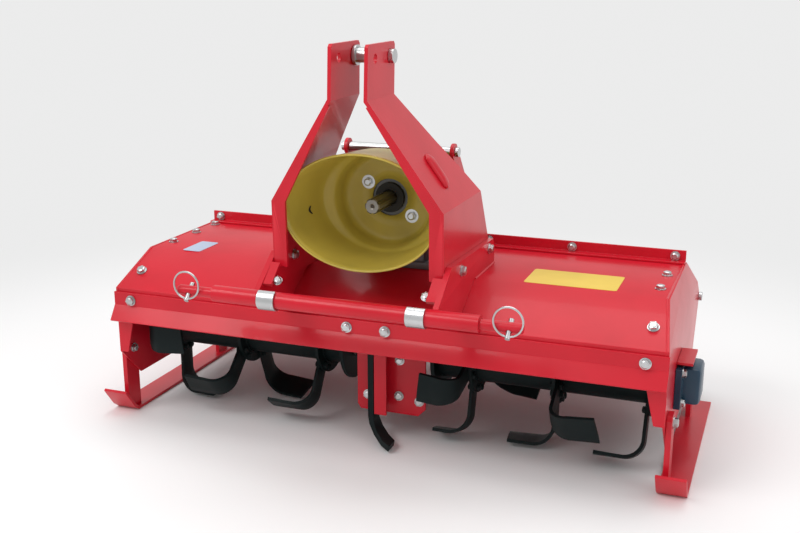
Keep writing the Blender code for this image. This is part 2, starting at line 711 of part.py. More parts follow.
def mast_front_y(z):
    """Front edge of a mast plate at a height."""
    rows = [(MAST_TOP_Z, -0.398), (MAST_BEND_Z, -0.405), (MAST_KNEE_Z, -0.370), (HOOD_TOP, -0.366)]
    for (z1, y1), (z0, y0) in zip(rows, rows[1:]):
        if z >= z0:
            return y0 + (y1 - y0) * (z - z0) / (z1 - z0)
    return rows[-1][1]


def build_mast():
    """Two folded plates that meet in a clevis for the tractor's top link."""
    foot_z = HOOD_TOP + 2 * GAP
    outline = [                         # y, z
        (-0.392, MAST_TOP_Z), (-0.398, MAST_TOP_Z - 0.006), (-0.405, MAST_BEND_Z), (-0.370, MAST_KNEE_Z),
        (-0.366, 0.427), (-0.340, foot_z), (-0.030, foot_z), (-0.030, 0.440), (-0.052, 0.480),
        (-0.109, MAST_KNEE_Z), (-0.143, 0.639), (-0.188, 0.701), (-0.255, MAST_BEND_Z),
        (-0.251, MAST_TOP_Z - 0.006), (-0.257, MAST_TOP_Z),
    ]
    for side, s in SIDES.items():
        name = "mast_plate_" + side
        bm = bmesh.new()
        section = [(mast_x(z), z) for z in (MAST_TOP_Z + 0.02, MAST_BEND_Z, MAST_KNEE_Z, foot_z - 0.02)]
        rows = [[bm.verts.new((s * x, y, z)) for y in (-0.45, 0.05)] for x, z in section]
        for (a, b), (c, d) in zip(rows, rows[1:]):
            bm.faces.new((a, b, d, c))
        plate = from_bmesh(name, bm, "red_paint")
        wall = plate.modifiers.new("sheet", 'SOLIDIFY')
        wall.thickness = MAST_T
        wall.offset = 0.0
        low, high = sorted((0.0, s * 0.25))
        common(plate, side_plate(name + "_outline", outline, low, high, cutter=True))

        bm = bmesh.new()
        pairs = []
        for z, inset in ((MAST_BEND_Z - 0.012, MAST_T), (MAST_KNEE_Z, MAST_FLANGE), (0.440, MAST_FLANGE)):
            x, y = mast_x(z), mast_front_y(z) + MAST_T / 2
            pairs.append((bm.verts.new((s * (x - inset), y, z)), bm.verts.new((s * x, y, z))))
        for (a, b), (c, d) in zip(pairs, pairs[1:]):
            bm.faces.new((a, b, d, c))
        flange = from_bmesh(name + "_flange", bm, cutter=True)
        wall = flange.modifiers.new("sheet", 'SOLIDIFY')
        wall.thickness = MAST_T * 0.98
        wall.offset = 0.0
        add(plate, flange)
        for tag, y in (("free", TOP_HOLE_Y), ("pin", TOP_PIN_Y)):
            cut(plate, rod_along(f"{name}_{tag}", (s * MAST_TOP_X, y, TOP_PIN_Z), 'X', TOP_HOLE_R, 0.03,
                                 cutter=True, sides=24))

    inner = MAST_TOP_X - MAST_T / 2 - GAP
    outer = MAST_TOP_X + MAST_T / 2 + GAP
    shank = TOP_HOLE_R - FIT
    turned("top_spacer_bolt", [
        (0.0, -outer - 0.014), (0.0085, -outer - 0.014), (0.0085, -outer - 0.010), (0.015, -outer - 0.010),
        (0.015, -outer), (shank, -outer), (shank, -inner), (0.016, -inner), (0.016, inner), (shank, inner),
        (shank, outer), (0.015, outer), (0.015, outer + 0.011), (0.0, outer + 0.011),
    ], (0, TOP_PIN_Y, TOP_PIN_Z), 'X', "zinc")


def build_stays():
    """Lugs and braces from the back of the mast down to the hood's rear angle, with a cross tube."""
    foot_y = HOOD_BACK_Y - ANGLE_T - 0.004
    foot_z = HOOD_TOP + ANGLE_UP
    inner = STAY_X - STAY_T / 2
    for side, s in SIDES.items():
        low, high = sorted((s * inner, s * (inner + STAY_T)))
        outline = arc((STAY_TOP_Y, STAY_TOP_Z), 0.019, 60, 200, 8) + [
            (foot_y - 0.044, HOOD_TOP + ANGLE_T + 3 * GAP), (foot_y, HOOD_TOP + ANGLE_T + 3 * GAP),
            (foot_y, foot_z + 0.004)]
        stay = side_plate("mast_stay_" + side, outline, low, high, "red_paint")
        cut(stay, rod_along("stay_bore", (s * STAY_X, STAY_TOP_Y, STAY_TOP_Z), 'X', 0.0065 + FIT, 0.05,
                            cutter=True, sides=16))
    end = inner - GAP
    out = inner + STAY_T + GAP
    turned("stay_cross_tube", [
        (0.0, -out - 0.009), (0.011, -out - 0.009), (0.011, -out), (0.0065, -out), (0.0065, -end),
        (CROSS_R, -end), (CROSS_R, end), (0.0065, end), (0.0065, out), (0.011, out), (0.011, out + 0.009),
        (0.0, out + 0.009),
    ], (0, STAY_TOP_Y, STAY_TOP_Z), 'X', "zinc")


def build_hitch_bar():
    """Lower hitch bar in two brackets, its clamps, and the linch pins in its ends."""
    hole_dir = Vector((0, -1, -1)).normalized()
    half_bar = [                        # radius, x
        (0.0, -BAR_END), (BAR_PIN_R - 0.002, -BAR_END), (BAR_PIN_R, -BAR_END + 0.003),
        (BAR_PIN_R, -BAR_SHOULDER), (BAR_R, -BAR_SHOULDER),
    ]
    profile = half_bar + [(radius, -x) for radius, x in reversed(half_bar)]
    bar = turned("hitch_bar", profile, (0, BAR_Y, BAR_Z), 'X', "red_paint")
    for s in SIDES.values():
        cut(bar, rod_along("linch_bore", (s * LINCH_X, BAR_Y, BAR_Z), hole_dir, LINCH_R + FIT, 0.08,
                           cutter=True, sides=16))

    for side, s in SIDES.items():
        centre = Vector((s * LINCH_X, BAR_Y, BAR_Z))
        pin = rod_along("linch_pin_" + side, centre + hole_dir * (LINCH_FRONT - LINCH_BACK) / 2, hole_dir,
                        LINCH_R, LINCH_FRONT + LINCH_BACK, "zinc", sides=16)
        bpy.ops.mesh.primitive_torus_add(major_radius=RING_R, minor_radius=RING_WIRE, major_segments=32,
                                         minor_segments=8)
        ring = bpy.context.object
        ring.name = "ring_" + side
        for home in list(ring.users_collection):
            home.objects.unlink(ring)
        place(ring, cutter=True)
        hang = centre + hole_dir * (LINCH_FRONT - LINCH_R) + Vector((0, 0, RING_R))
        ring.matrix_world = Matrix.Translation(hang) @ Matrix.Rotation(math.pi / 2, 4, 'X')
        add(pin, ring)

    top_y, top_z = -0.352, 0.470
    for side, s in SIDES.items():
        name = "hitch_bracket_" + side
        x_in = MAST_FOOT_X + MAST_T / 2 + GAP
        low, high = sorted((s * x_in, s * (x_in + BRACKET_T)))
        slope = (HOOD_TOP - HOOD_BEND_Z - HOOD_T / 2) / (HOOD_BROW_Y - HOOD_FRONT_Y)
        lift = HOOD_T / 2 * math.sqrt(1 + slope * slope) + 0.002
        on_slope_y = -0.300
        on_slope_z = HOOD_BEND_Z + slope * (on_slope_y - HOOD_FRONT_Y) + lift
        reach = BAR_R + GAP
        grip = arc((BAR_Y, BAR_Z), reach, -20, 55, 6)
        outline = [(top_y, top_z), (-0.040, top_z - 0.010), (-0.030, top_z - 0.025),
                   (-0.030, HOOD_TOP + GAP), (HOOD_BROW_Y - 0.001, HOOD_TOP + GAP),
                   (on_slope_y, on_slope_z), (-0.400, 0.360), (BAR_Y + 0.024, BAR_Z - 0.016)] + grip
        bracket = side_plate(name, outline, low, high, "red_paint")
        arm = Vector((0, BAR_Y + 0.010 - top_y, BAR_Z + BAR_R + 0.006 - top_z)).normalized()
        inner = CLAMP_X + PAD_INSET
        x0, x1 = sorted((s * inner, s * (x_in + 0.003)))
        a = Vector((0, top_y - 0.022, top_z - 0.022))
        b = Vector((0, BAR_Y + 0.030, BAR_Z + 0.022))
        flange = bent_sheet(name + "_pad", [(x0, x1, a.y, a.z), (x0, x1, b.y, b.z)], 0.008, cutter=True)
        add(bracket, flange)

        grip_out = reach + CLAMP_T
        strap = arc((BAR_Y, BAR_Z), grip_out, -75, -250, 15) + arc((BAR_Y, BAR_Z), reach, -250, -75, 15)
        low, high = sorted((s * (CLAMP_X - CLAMP_WIDE / 2), s * (CLAMP_X + CLAMP_WIDE / 2)))
        side_plate("bar_clamp_" + side, strap, low, high, "zinc")


# ---- tailgate ----
def build_tailgate():
    """Levelling board hinged behind the hood, with the bracket its rod passes through."""
    fold_y = HINGE_Y + 0.008
    gate = bent_sheet("tailgate", [
        (-GATE_HALF, GATE_HALF, fold_y + 0.001, HINGE_Z - HINGE_TUBE_R * 0.6),
        (-GATE_HALF, GATE_HALF, GATE_BACK_Y - 0.014, GATE_LOW_Z + 0.030),
        (-GATE_HALF, GATE_HALF, GATE_BACK_Y + 0.012, GATE_LOW_Z),
    ], GATE_T, "red_paint")
    add(gate, rod_along("gate_tube", (0, HINGE_Y, HINGE_Z), 'X', HINGE_TUBE_R, 2 * GATE_HALF,
                        cutter=True, sides=20))
    rod_dir = Vector((0, ROD_LOW_Y - ROD_TOP_Y, ROD_LOW_Z - ROD_TOP_Z)).normalized()
    across = Vector((0, -rod_dir.z, rod_dir.y))
    middle = Vector((0, ROD_LOW_Y, ROD_LOW_Z))
    a = middle + across * 0.026
    b = middle - across * 0.034
    foot = Vector((0, HINGE_Y + 0.020, HINGE_Z - 0.075))
    bracket = bent_sheet("gate_bracket", [
        (-0.026, 0.026, a.y, a.z), (-0.026, 0.026, b.y, b.z), (-0.026, 0.026, foot.y, foot.z),
    ], 0.006, cutter=True)
    add(gate, bracket)
    slot = block("gate_slot", (-ROD_R - 0.0015, -0.017, -0.02), (ROD_R + 0.0015, 0.017, 0.02), cutter=True)
    spin = Matrix(((1, 0, 0), (0, across.y, rod_dir.y), (0, across.z, rod_dir.z))).to_4x4()
    slot.matrix_world = Matrix.Translation(middle) @ spin
    cut(gate, slot)
    for s in SIDES.values():
        cut(gate, rod_along("gate_bore", (s * GATE_HALF, HINGE_Y, HINGE_Z), 'X', HINGE_PIN_R + FIT, 0.060,
                            cutter=True, sides=16))
    pivot_at(gate, (0, HINGE_Y, HINGE_Z))

    for side, s in SIDES.items():
        out = PLATE_OUT + GAP
        turned("hinge_pin_" + side, [(r, s * x) for r, x in (
            (0.0, GATE_HALF - 0.024), (HINGE_PIN_R, GATE_HALF - 0.024), (HINGE_PIN_R, out), (0.011, out),
            (0.011, out + 0.009), (0.0, out + 0.009))], (0, HINGE_Y, HINGE_Z), 'X', "zinc")

    ear_foot = HOOD_TOP + ANGLE_T + 3 * GAP
    ears = block("rod_ears", (-EAR_X - EAR_T, ROD_TOP_Y - 0.018, ear_foot),
                 (EAR_X + EAR_T, ROD_TOP_Y + 0.018, ear_foot + 0.006), "red_paint")
    for s in SIDES.values():
        low, high = sorted((s * EAR_X, s * (EAR_X + EAR_T)))
        outline = [(ROD_TOP_Y - 0.018, ear_foot + 0.002), (ROD_TOP_Y + 0.018, ear_foot + 0.002)] + arc(
            (ROD_TOP_Y, ROD_TOP_Z), 0.014, 0, 180, 9)
        add(ears, side_plate("rod_ear", outline, low, high, cutter=True))
        cut(ears, rod_along("ear_bore", (s * EAR_X, ROD_TOP_Y, ROD_TOP_Z), 'X', ROD_EYE_PIN_R + FIT, 0.03,
                            cutter=True, sides=16))
    out = EAR_X + EAR_T + GAP
    turned("rod_eye_pin", [(0.0, -out - 0.007), (0.010, -out - 0.007), (0.010, -out), (ROD_EYE_PIN_R, -out),
                           (ROD_EYE_PIN_R, out), (0.010, out), (0.010, out + 0.007), (0.0, out + 0.007)],
           (0, ROD_TOP_Y, ROD_TOP_Z), 'X', "zinc")

    length = math.hypot(ROD_LOW_Y - ROD_TOP_Y, ROD_LOW_Z - ROD_TOP_Z) + 0.030
    top = Vector((0, ROD_TOP_Y, ROD_TOP_Z))
    rod = rod_along("tailgate_rod", top + rod_dir * length / 2, rod_dir, ROD_R, length, "zinc", sides=16)
    add(rod, rod_along("rod_eye", top, 'X', ROD_EYE_R, 2 * EAR_X - 0.002, cutter=True, sides=24))
    cut(rod, rod_along("rod_eye_bore", top, 'X', ROD_EYE_PIN_R + FIT, 0.06, cutter=True, sides=16))
    nut = rod_along("rod_nut", middle + rod_dir * 0.018, rod_dir, 0.013, 0.012, cutter=True, sides=6)
    add(rod, nut)
    pivot_at(rod, top)


def centre_fore_and_aft():
    """Slide everything along Y so that the machine's box is centred on the origin."""
    bpy.context.view_layer.update()
    graph = bpy.context.evaluated_depsgraph_get()
    reach = []
    for obj in parts.objects:
        whole = obj.evaluated_get(graph)
        reach += [(whole.matrix_world @ vertex.co).y for vertex in whole.data.vertices]
    shift = (min(reach) + max(reach)) / 2
    for obj in parts.objects:
        obj.location.y -= shift


build_hood()
build_end_plates()
build_bearings()
build_skids()
build_rotor()
build_drive()
build_mast()
build_stays()
build_hitch_bar()
build_tailgate()
centre_fore_and_aft()
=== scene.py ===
import json
import math

import bmesh
import bpy
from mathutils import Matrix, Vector


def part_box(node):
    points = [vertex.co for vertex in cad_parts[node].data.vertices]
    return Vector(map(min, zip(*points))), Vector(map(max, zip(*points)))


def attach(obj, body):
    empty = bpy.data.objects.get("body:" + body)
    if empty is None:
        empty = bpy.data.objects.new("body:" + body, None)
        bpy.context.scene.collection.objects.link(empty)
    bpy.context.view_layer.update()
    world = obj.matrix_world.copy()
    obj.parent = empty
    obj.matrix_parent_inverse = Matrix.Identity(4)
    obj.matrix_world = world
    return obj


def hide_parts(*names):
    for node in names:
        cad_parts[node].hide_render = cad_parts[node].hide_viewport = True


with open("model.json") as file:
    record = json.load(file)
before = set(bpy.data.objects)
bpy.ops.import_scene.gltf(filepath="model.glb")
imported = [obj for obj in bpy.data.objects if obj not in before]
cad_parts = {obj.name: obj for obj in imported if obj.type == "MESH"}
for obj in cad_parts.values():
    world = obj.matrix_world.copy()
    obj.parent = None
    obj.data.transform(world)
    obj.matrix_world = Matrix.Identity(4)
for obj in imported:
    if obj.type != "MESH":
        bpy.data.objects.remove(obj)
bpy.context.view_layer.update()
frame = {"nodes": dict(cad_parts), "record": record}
scene = bpy.context.scene
scene.view_settings.view_transform = 'Standard'
print("frame loaded")


# camera, lamps and floor

view = {"place": (0.8522, -2.3240, 1.0503), "down": 0.26719, "turn": 0.36089, "lens": 48.07}
studio = {
    "backdrop": 0.836, "fill": 0.62, "floorTone": 0.92, "floorSize": 24.0, "floorDrop": 0.0005,
    "clearFrom": 0.9, "clearBy": 2.3,            # where the floor's fade to the backdrop starts and ends
    "lamps": {                                   # place, width and height, power
        "keyLamp": ((-1.8, -2.6, 3.4), (2.4, 1.8), 70),
        "rightLamp": ((3.4, -1.2, 2.2), (1.8, 2.2), 20),
        "topLamp": ((0.0, 0.6, 4.2), (3.5, 3.0), 60),
    },
    "lampTarget": (0, 0, 0.4),
}

camData = bpy.data.cameras.new("camera")
camData.lens = view["lens"]
camData.sensor_width = 36.0
camera = bpy.data.objects.new("camera", camData)
camera.location = view["place"]
camera.rotation_euler = (math.pi / 2 - view["down"], 0, view["turn"])
scene.collection.objects.link(camera)
scene.camera = camera


def areaLamp(name, place, size, power):
    data = bpy.data.lights.new(name, 'AREA')
    data.shape = 'RECTANGLE'
    data.size, data.size_y = size
    data.energy = power
    lamp = bpy.data.objects.new(name, data)
    lamp.location = place
    aim = Vector(studio["lampTarget"]) - Vector(place)
    lamp.rotation_euler = aim.to_track_quat('-Z', 'Y').to_euler()
    scene.collection.objects.link(lamp)


for name, (place, size, power) in studio["lamps"].items():
    areaLamp(name, place, size, power)


def backdropRay(nodes, links):
    # one where the camera, a reflection or a clear surface sees the backdrop
    path = nodes.new("ShaderNodeLightPath")
    seen = None
    for kind in ("Is Camera Ray", "Is Glossy Ray", "Is Transmission Ray"):
        if seen is None:
            seen = path.outputs[kind]
            continue
        both = nodes.new("ShaderNodeMath")
        both.operation = 'MAXIMUM'
        links.new(seen, both.inputs[0])
        links.new(path.outputs[kind], both.inputs[1])
        seen = both.outputs[0]
    return seen


world = bpy.data.worlds.new("studio")
scene.world = world
world.use_nodes = True
nodes, links = world.node_tree.nodes, world.node_tree.links
nodes.clear()
lit = nodes.new("ShaderNodeBackground")
lit.inputs["Color"].default_value = (1.0, 1.0, 1.0, 1.0)
lit.inputs["Strength"].default_value = studio["fill"]
shown = nodes.new("ShaderNodeBackground")
shown.inputs["Color"].default_value = (1.0, 1.0, 1.0, 1.0)
shown.inputs["Strength"].default_value = studio["backdrop"]
mix = nodes.new("ShaderNodeMixShader")
out = nodes.new("ShaderNodeOutputWorld")
links.new(backdropRay(nodes, links), mix.inputs[0])
links.new(lit.outputs[0], mix.inputs[1])
links.new(shown.outputs[0], mix.inputs[2])
links.new(mix.outputs[0], out.inputs["Surface"])

floorMesh = bpy.data.meshes.new("studioFloor")
half = studio["floorSize"] / 2
corners = [(-half, -half, 0), (half, -half, 0), (half, half, 0), (-half, half, 0)]
floorMesh.from_pydata(corners, [], [(0, 1, 2, 3)])
floor = bpy.data.objects.new("studioFloor", floorMesh)
floor.location.z = -studio["floorDrop"]
scene.collection.objects.link(floor)

floorPaint = bpy.data.materials.new("floorPaint")
floorPaint.use_nodes = True
nodes, links = floorPaint.node_tree.nodes, floorPaint.node_tree.links
shader = nodes["Principled BSDF"]
shader.inputs["Base Color"].default_value = (*[studio["floorTone"]] * 3, 1.0)
shader.inputs["Roughness"].default_value = 0.6
shader.inputs["Specular IOR Level"].default_value = 0.2
glow = nodes.new("ShaderNodeEmission")
glow.inputs["Color"].default_value = (1.0, 1.0, 1.0, 1.0)
glow.inputs["Strength"].default_value = studio["backdrop"]
place = nodes.new("ShaderNodeTexCoord")
reach = nodes.new("ShaderNodeVectorMath")
reach.operation = 'LENGTH'
fade = nodes.new("ShaderNodeMapRange")
fade.interpolation_type = 'SMOOTHSTEP'
fade.inputs["From Min"].default_value = studio["clearFrom"]
fade.inputs["From Max"].default_value = studio["clearBy"]
far = nodes.new("ShaderNodeMath")
far.operation = 'MULTIPLY'
mix = nodes.new("ShaderNodeMixShader")
links.new(place.outputs["Object"], reach.inputs[0])
links.new(reach.outputs["Value"], fade.inputs["Value"])
links.new(fade.outputs[0], far.inputs[0])
links.new(backdropRay(nodes, links), far.inputs[1])
links.new(far.outputs[0], mix.inputs[0])
links.new(shader.outputs[0], mix.inputs[1])
links.new(glow.outputs[0], mix.inputs[2])
links.new(mix.outputs[0], nodes["Material Output"].inputs["Surface"])
floorMesh.materials.append(floorPaint)
print("studio ready")


# finishes: every one reads Object coordinates

finishes = {
    # colour, darker or dirtier colour, roughness, metallic, clear coat, bump depth, grain size, specular
    "redPaint": ((0.60, 0.009, 0.024), (0.51, 0.0075, 0.019), 0.30, 0.0, 0.15, 0.0004, 160, 0.24),
    "olivePaint": ((0.53, 0.41, 0.065), (0.40, 0.31, 0.05), 0.40, 0.0, 0.15, 0.0004, 140, 0.35),
    "bluePaint": ((0.010, 0.045, 0.085), (0.008, 0.03, 0.055), 0.38, 0.0, 0.15, 0.0006, 120, 0.35),
    "blackPaint": ((0.0035, 0.0085, 0.009), (0.012, 0.016, 0.016), 0.50, 0.0, 0.0, 0.0008, 90, 0.14),
    "castIron": ((0.16, 0.165, 0.17), (0.09, 0.092, 0.095), 0.52, 0.7, 0.0, 0.0020, 220, 0.5),
    "shaftSteel": ((0.25, 0.235, 0.21), (0.15, 0.13, 0.105), 0.36, 0.9, 0.0, 0.0006, 200, 0.5),
    "brightSteel": ((0.62, 0.62, 0.62), (0.42, 0.42, 0.43), 0.27, 1.0, 0.0, 0.0003, 240, 0.5),
    "zincPlate": ((0.57, 0.58, 0.59), (0.42, 0.43, 0.42), 0.27, 1.0, 0.0, 0.0003, 180, 0.5),
    "yellowPlate": ((0.80, 0.56, 0.03), (0.68, 0.47, 0.02), 0.35, 0.0, 0.1, 0.0001, 200, 0.4),
    "whitePlate": ((0.42, 0.50, 0.66), (0.34, 0.42, 0.58), 0.35, 0.0, 0.1, 0.0001, 200, 0.4),
    "rubber": ((0.014, 0.014, 0.015), (0.024, 0.024, 0.025), 0.62, 0.0, 0.0, 0.0005, 150, 0.4),
}
painted = {"redPaint", "olivePaint", "bluePaint", "blackPaint"}


def makeFinish(name):
    colour, worn, roughness, metallic, coat, depth, grain, shine = finishes[name]
    material = bpy.data.materials.new(name)
    material.use_nodes = True
    nodes, links = material.node_tree.nodes, material.node_tree.links
    shader = nodes["Principled BSDF"]
    shader.inputs["Metallic"].default_value = metallic
    shader.inputs["Coat Weight"].default_value = coat
    shader.inputs["Specular IOR Level"].default_value = shine
    shader.inputs["Coat Roughness"].default_value = 0.08
    place = nodes.new("ShaderNodeTexCoord")

    cloud = nodes.new("ShaderNodeTexNoise")         # slow change of tone over a surface
    cloud.inputs["Scale"].default_value = 7.0
    cloud.inputs["Detail"].default_value = 4.0
    fine = nodes.new("ShaderNodeTexNoise")          # grain of the paint or metal
    fine.inputs["Scale"].default_value = grain
    fine.inputs["Detail"].default_value = 3.0
    for texture in (cloud, fine):
        links.new(place.outputs["Object"], texture.inputs["Vector"])

    tone = nodes.new("ShaderNodeMapRange")
    tone.inputs["From Min"].default_value = 0.42
    tone.inputs["From Max"].default_value = 0.78
    links.new(cloud.outputs["Fac"], tone.inputs["Value"])
    blend = nodes.new("ShaderNodeMix")
    blend.data_type = 'RGBA'
    blend.inputs[6].default_value = (*colour, 1.0)
    blend.inputs[7].default_value = (*worn, 1.0)
    links.new(tone.outputs[0], blend.inputs["Factor"])
    last = blend.outputs[2]

    if name in painted:                             # paint rubbed thin on the sharpest edges
        shape = nodes.new("ShaderNodeNewGeometry")
        edge = nodes.new("ShaderNodeMapRange")
        edge.inputs["From Min"].default_value = 0.60
        edge.inputs["From Max"].default_value = 0.72
        links.new(shape.outputs["Pointiness"], edge.inputs["Value"])
        broken = nodes.new("ShaderNodeMath")
        broken.operation = 'MULTIPLY'
        links.new(edge.outputs[0], broken.inputs[0])
        links.new(cloud.outputs["Fac"], broken.inputs[1])
        rub = nodes.new("ShaderNodeMix")
        rub.data_type = 'RGBA'
        lighter = [min(1.0, channel * 1.35 + 0.03) for channel in colour]
        rub.inputs[7].default_value = (*lighter, 1.0)
        links.new(broken.outputs[0], rub.inputs["Factor"])
        links.new(last, rub.inputs[6])
        last = rub.outputs[2]
    links.new(last, shader.inputs["Base Color"])

    gloss = nodes.new("ShaderNodeMapRange")
    gloss.inputs["To Min"].default_value = roughness * 0.85
    gloss.inputs["To Max"].default_value = roughness * 1.2
    links.new(cloud.outputs["Fac"], gloss.inputs["Value"])
    links.new(gloss.outputs[0], shader.inputs["Roughness"])

    bump = nodes.new("ShaderNodeBump")
    bump.inputs["Strength"].default_value = 0.35
    bump.inputs["Distance"].default_value = depth
    links.new(fine.outputs["Fac"], bump.inputs["Height"])
    links.new(bump.outputs[0], shader.inputs["Normal"])
    return material


finish = {name: makeFinish(name) for name in finishes}
print("finishes made")


# the frame's own solids, each with its edges eased

easing = {"width": 0.0011, "angle": 32.0, "sameFlat": 0.3, "merge": 1e-5}
sides = ("left", "right")
coats = {
    "redPaint": ["hood", "front_apron", "rear_angle", "drive_shield", "rod_ears", "tailgate"]
                + [f"{part}_{side}" for side in sides for part in
                   ("end_plate", "bearing_cover", "skid", "mast_plate", "mast_stay", "hitch_bracket")]
                + ["hitch_bar"],
    "olivePaint": ["input_guard"],
    "bluePaint": [f"bearing_housing_{side}" for side in sides],
    "blackPaint": ["fixed_point"] + [f"rotor_tube_{side}" for side in sides]
                  + [f"tine_set_{number}" for number in range(1, 7)],
    "castIron": ["gearbox", "drive_case"],
    "brightSteel": ["input_shaft", "rotor_drive_shaft"],
    "zincPlate": ["stay_cross_tube", "top_spacer_bolt", "rod_eye_pin", "tailgate_rod"]
                 + [f"{part}_{side}" for side in sides for part in ("bar_clamp", "linch_pin", "hinge_pin")],
    "rubber": ["shaft_seal"],
}
ownShape = {"input_guard", "input_shaft"} | {f"tine_set_{number}" for number in range(1, 7)}
bodyOf = {node: body for body, names in frame["record"]["behaviour"]["bodies"].items() for node in names}


def easeEdges(piece, width, degrees):
    bevel = piece.modifiers.new("easedEdges", 'BEVEL')
    bevel.width = width
    bevel.segments = 2
    bevel.limit_method = 'ANGLE'
    bevel.angle_limit = math.radians(degrees)
    bevel.harden_normals = True


def easedCopy(node, coat):
    # a welded copy of a frame solid with rounded edges, shown in its place
    mesh = frame["nodes"][node].data.copy()
    bm = bmesh.new()
    bm.from_mesh(mesh)
    bmesh.ops.remove_doubles(bm, verts=bm.verts, dist=easing["merge"])
    sameFlat = math.radians(easing["sameFlat"])
    bmesh.ops.dissolve_limit(bm, angle_limit=sameFlat, verts=bm.verts, edges=bm.edges)
    for face in bm.faces:
        face.smooth = True
    bm.to_mesh(mesh)
    bm.free()
    if "custom_normal" in mesh.attributes:
        mesh.attributes.remove(mesh.attributes["custom_normal"])
    mesh.materials.clear()
    mesh.materials.append(finish[coat])
    piece = bpy.data.objects.new(node + "_eased", mesh)
    scene.collection.objects.link(piece)
    easeEdges(piece, easing["width"], easing["angle"])
    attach(piece, bodyOf[node])
    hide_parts(node)


for coat, names in coats.items():
    for node in names:
        if node not in ownShape:
            easedCopy(node, coat)
print("solids finished")


# places taken from the frame

def middle(node):
    low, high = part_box(node)
    return (low + high) / 2


hoodShape = {"sheet": 0.0025, "slopeRun": 0.1245, "bendUp": 0.0449, "lean": 0.0189, "backRun": 0.1425}
hoodLow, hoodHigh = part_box("hood")
deckTop = hoodHigh.z
frontY = hoodLow.y                               # hood's front face
rotorAxis = middle("rotor_drive_shaft")
shaftAxis = middle("input_shaft")
browY = frontY + hoodShape["slopeRun"]           # where the front slope meets the flat
bendZ = hoodLow.z + hoodShape["bendUp"]
slopeRise = (deckTop - hoodShape["sheet"] - bendZ) / (browY - frontY - hoodShape["sheet"])
slopeAim = Vector((0, -slopeRise, 1)).normalized()


def onSlope(x, y):
    # a point on the upper face of the hood's front slope
    sheet = hoodShape["sheet"]
    return (x, y, bendZ + slopeRise * (y - frontY - sheet) + sheet / slopeAim.z)


# repeated pieces come from Geometry Nodes

def newTree(name, inputs):
    tree = bpy.data.node_groups.new(name, 'GeometryNodeTree')
    tree.interface.new_socket("Geometry", in_out='INPUT', socket_type='NodeSocketGeometry')
    for label, value in inputs.items():
        kind = 'NodeSocketInt' if isinstance(value, int) else 'NodeSocketFloat'
        tree.interface.new_socket(label, in_out='INPUT', socket_type=kind).default_value = value
    tree.interface.new_socket("Geometry", in_out='OUTPUT', socket_type='NodeSocketGeometry')
    return tree, tree.nodes.new("NodeGroupInput"), tree.nodes.new("NodeGroupOutput")


def addMath(tree, operation, *values):
    node = tree.nodes.new("ShaderNodeMath")
    node.operation = operation
    for socket, value in zip(node.inputs, values):
        if isinstance(value, (int, float)):
            socket.default_value = value
        else:
            tree.links.new(value, socket)
    return node.outputs[0]


def raised(tree, shape, height):
    # the same shape, lifted along Z
    lift = tree.nodes.new("ShaderNodeCombineXYZ")
    tree.links.new(height, lift.inputs["Z"])
    move = tree.nodes.new("GeometryNodeTransform")
    tree.links.new(shape, move.inputs["Geometry"])
    tree.links.new(lift.outputs[0], move.inputs["Translation"])
    return move.outputs[0]


def endTree(tree, last, groupOut, material):
    real = tree.nodes.new("GeometryNodeRealizeInstances")
    paint = tree.nodes.new("GeometryNodeSetMaterial")
    paint.inputs["Material"].default_value = material
    tree.links.new(last, real.inputs[0])
    tree.links.new(real.outputs[0], paint.inputs["Geometry"])
    tree.links.new(paint.outputs[0], groupOut.inputs[0])


boltSizes = {"headRadius": 0.0105, "headHeight": 0.0070, "washerRadius": 0.0125, "washerHeight": 0.0022,
             "domeRadius": 0.0062, "domeHeight": 0.0016, "seed": 4}


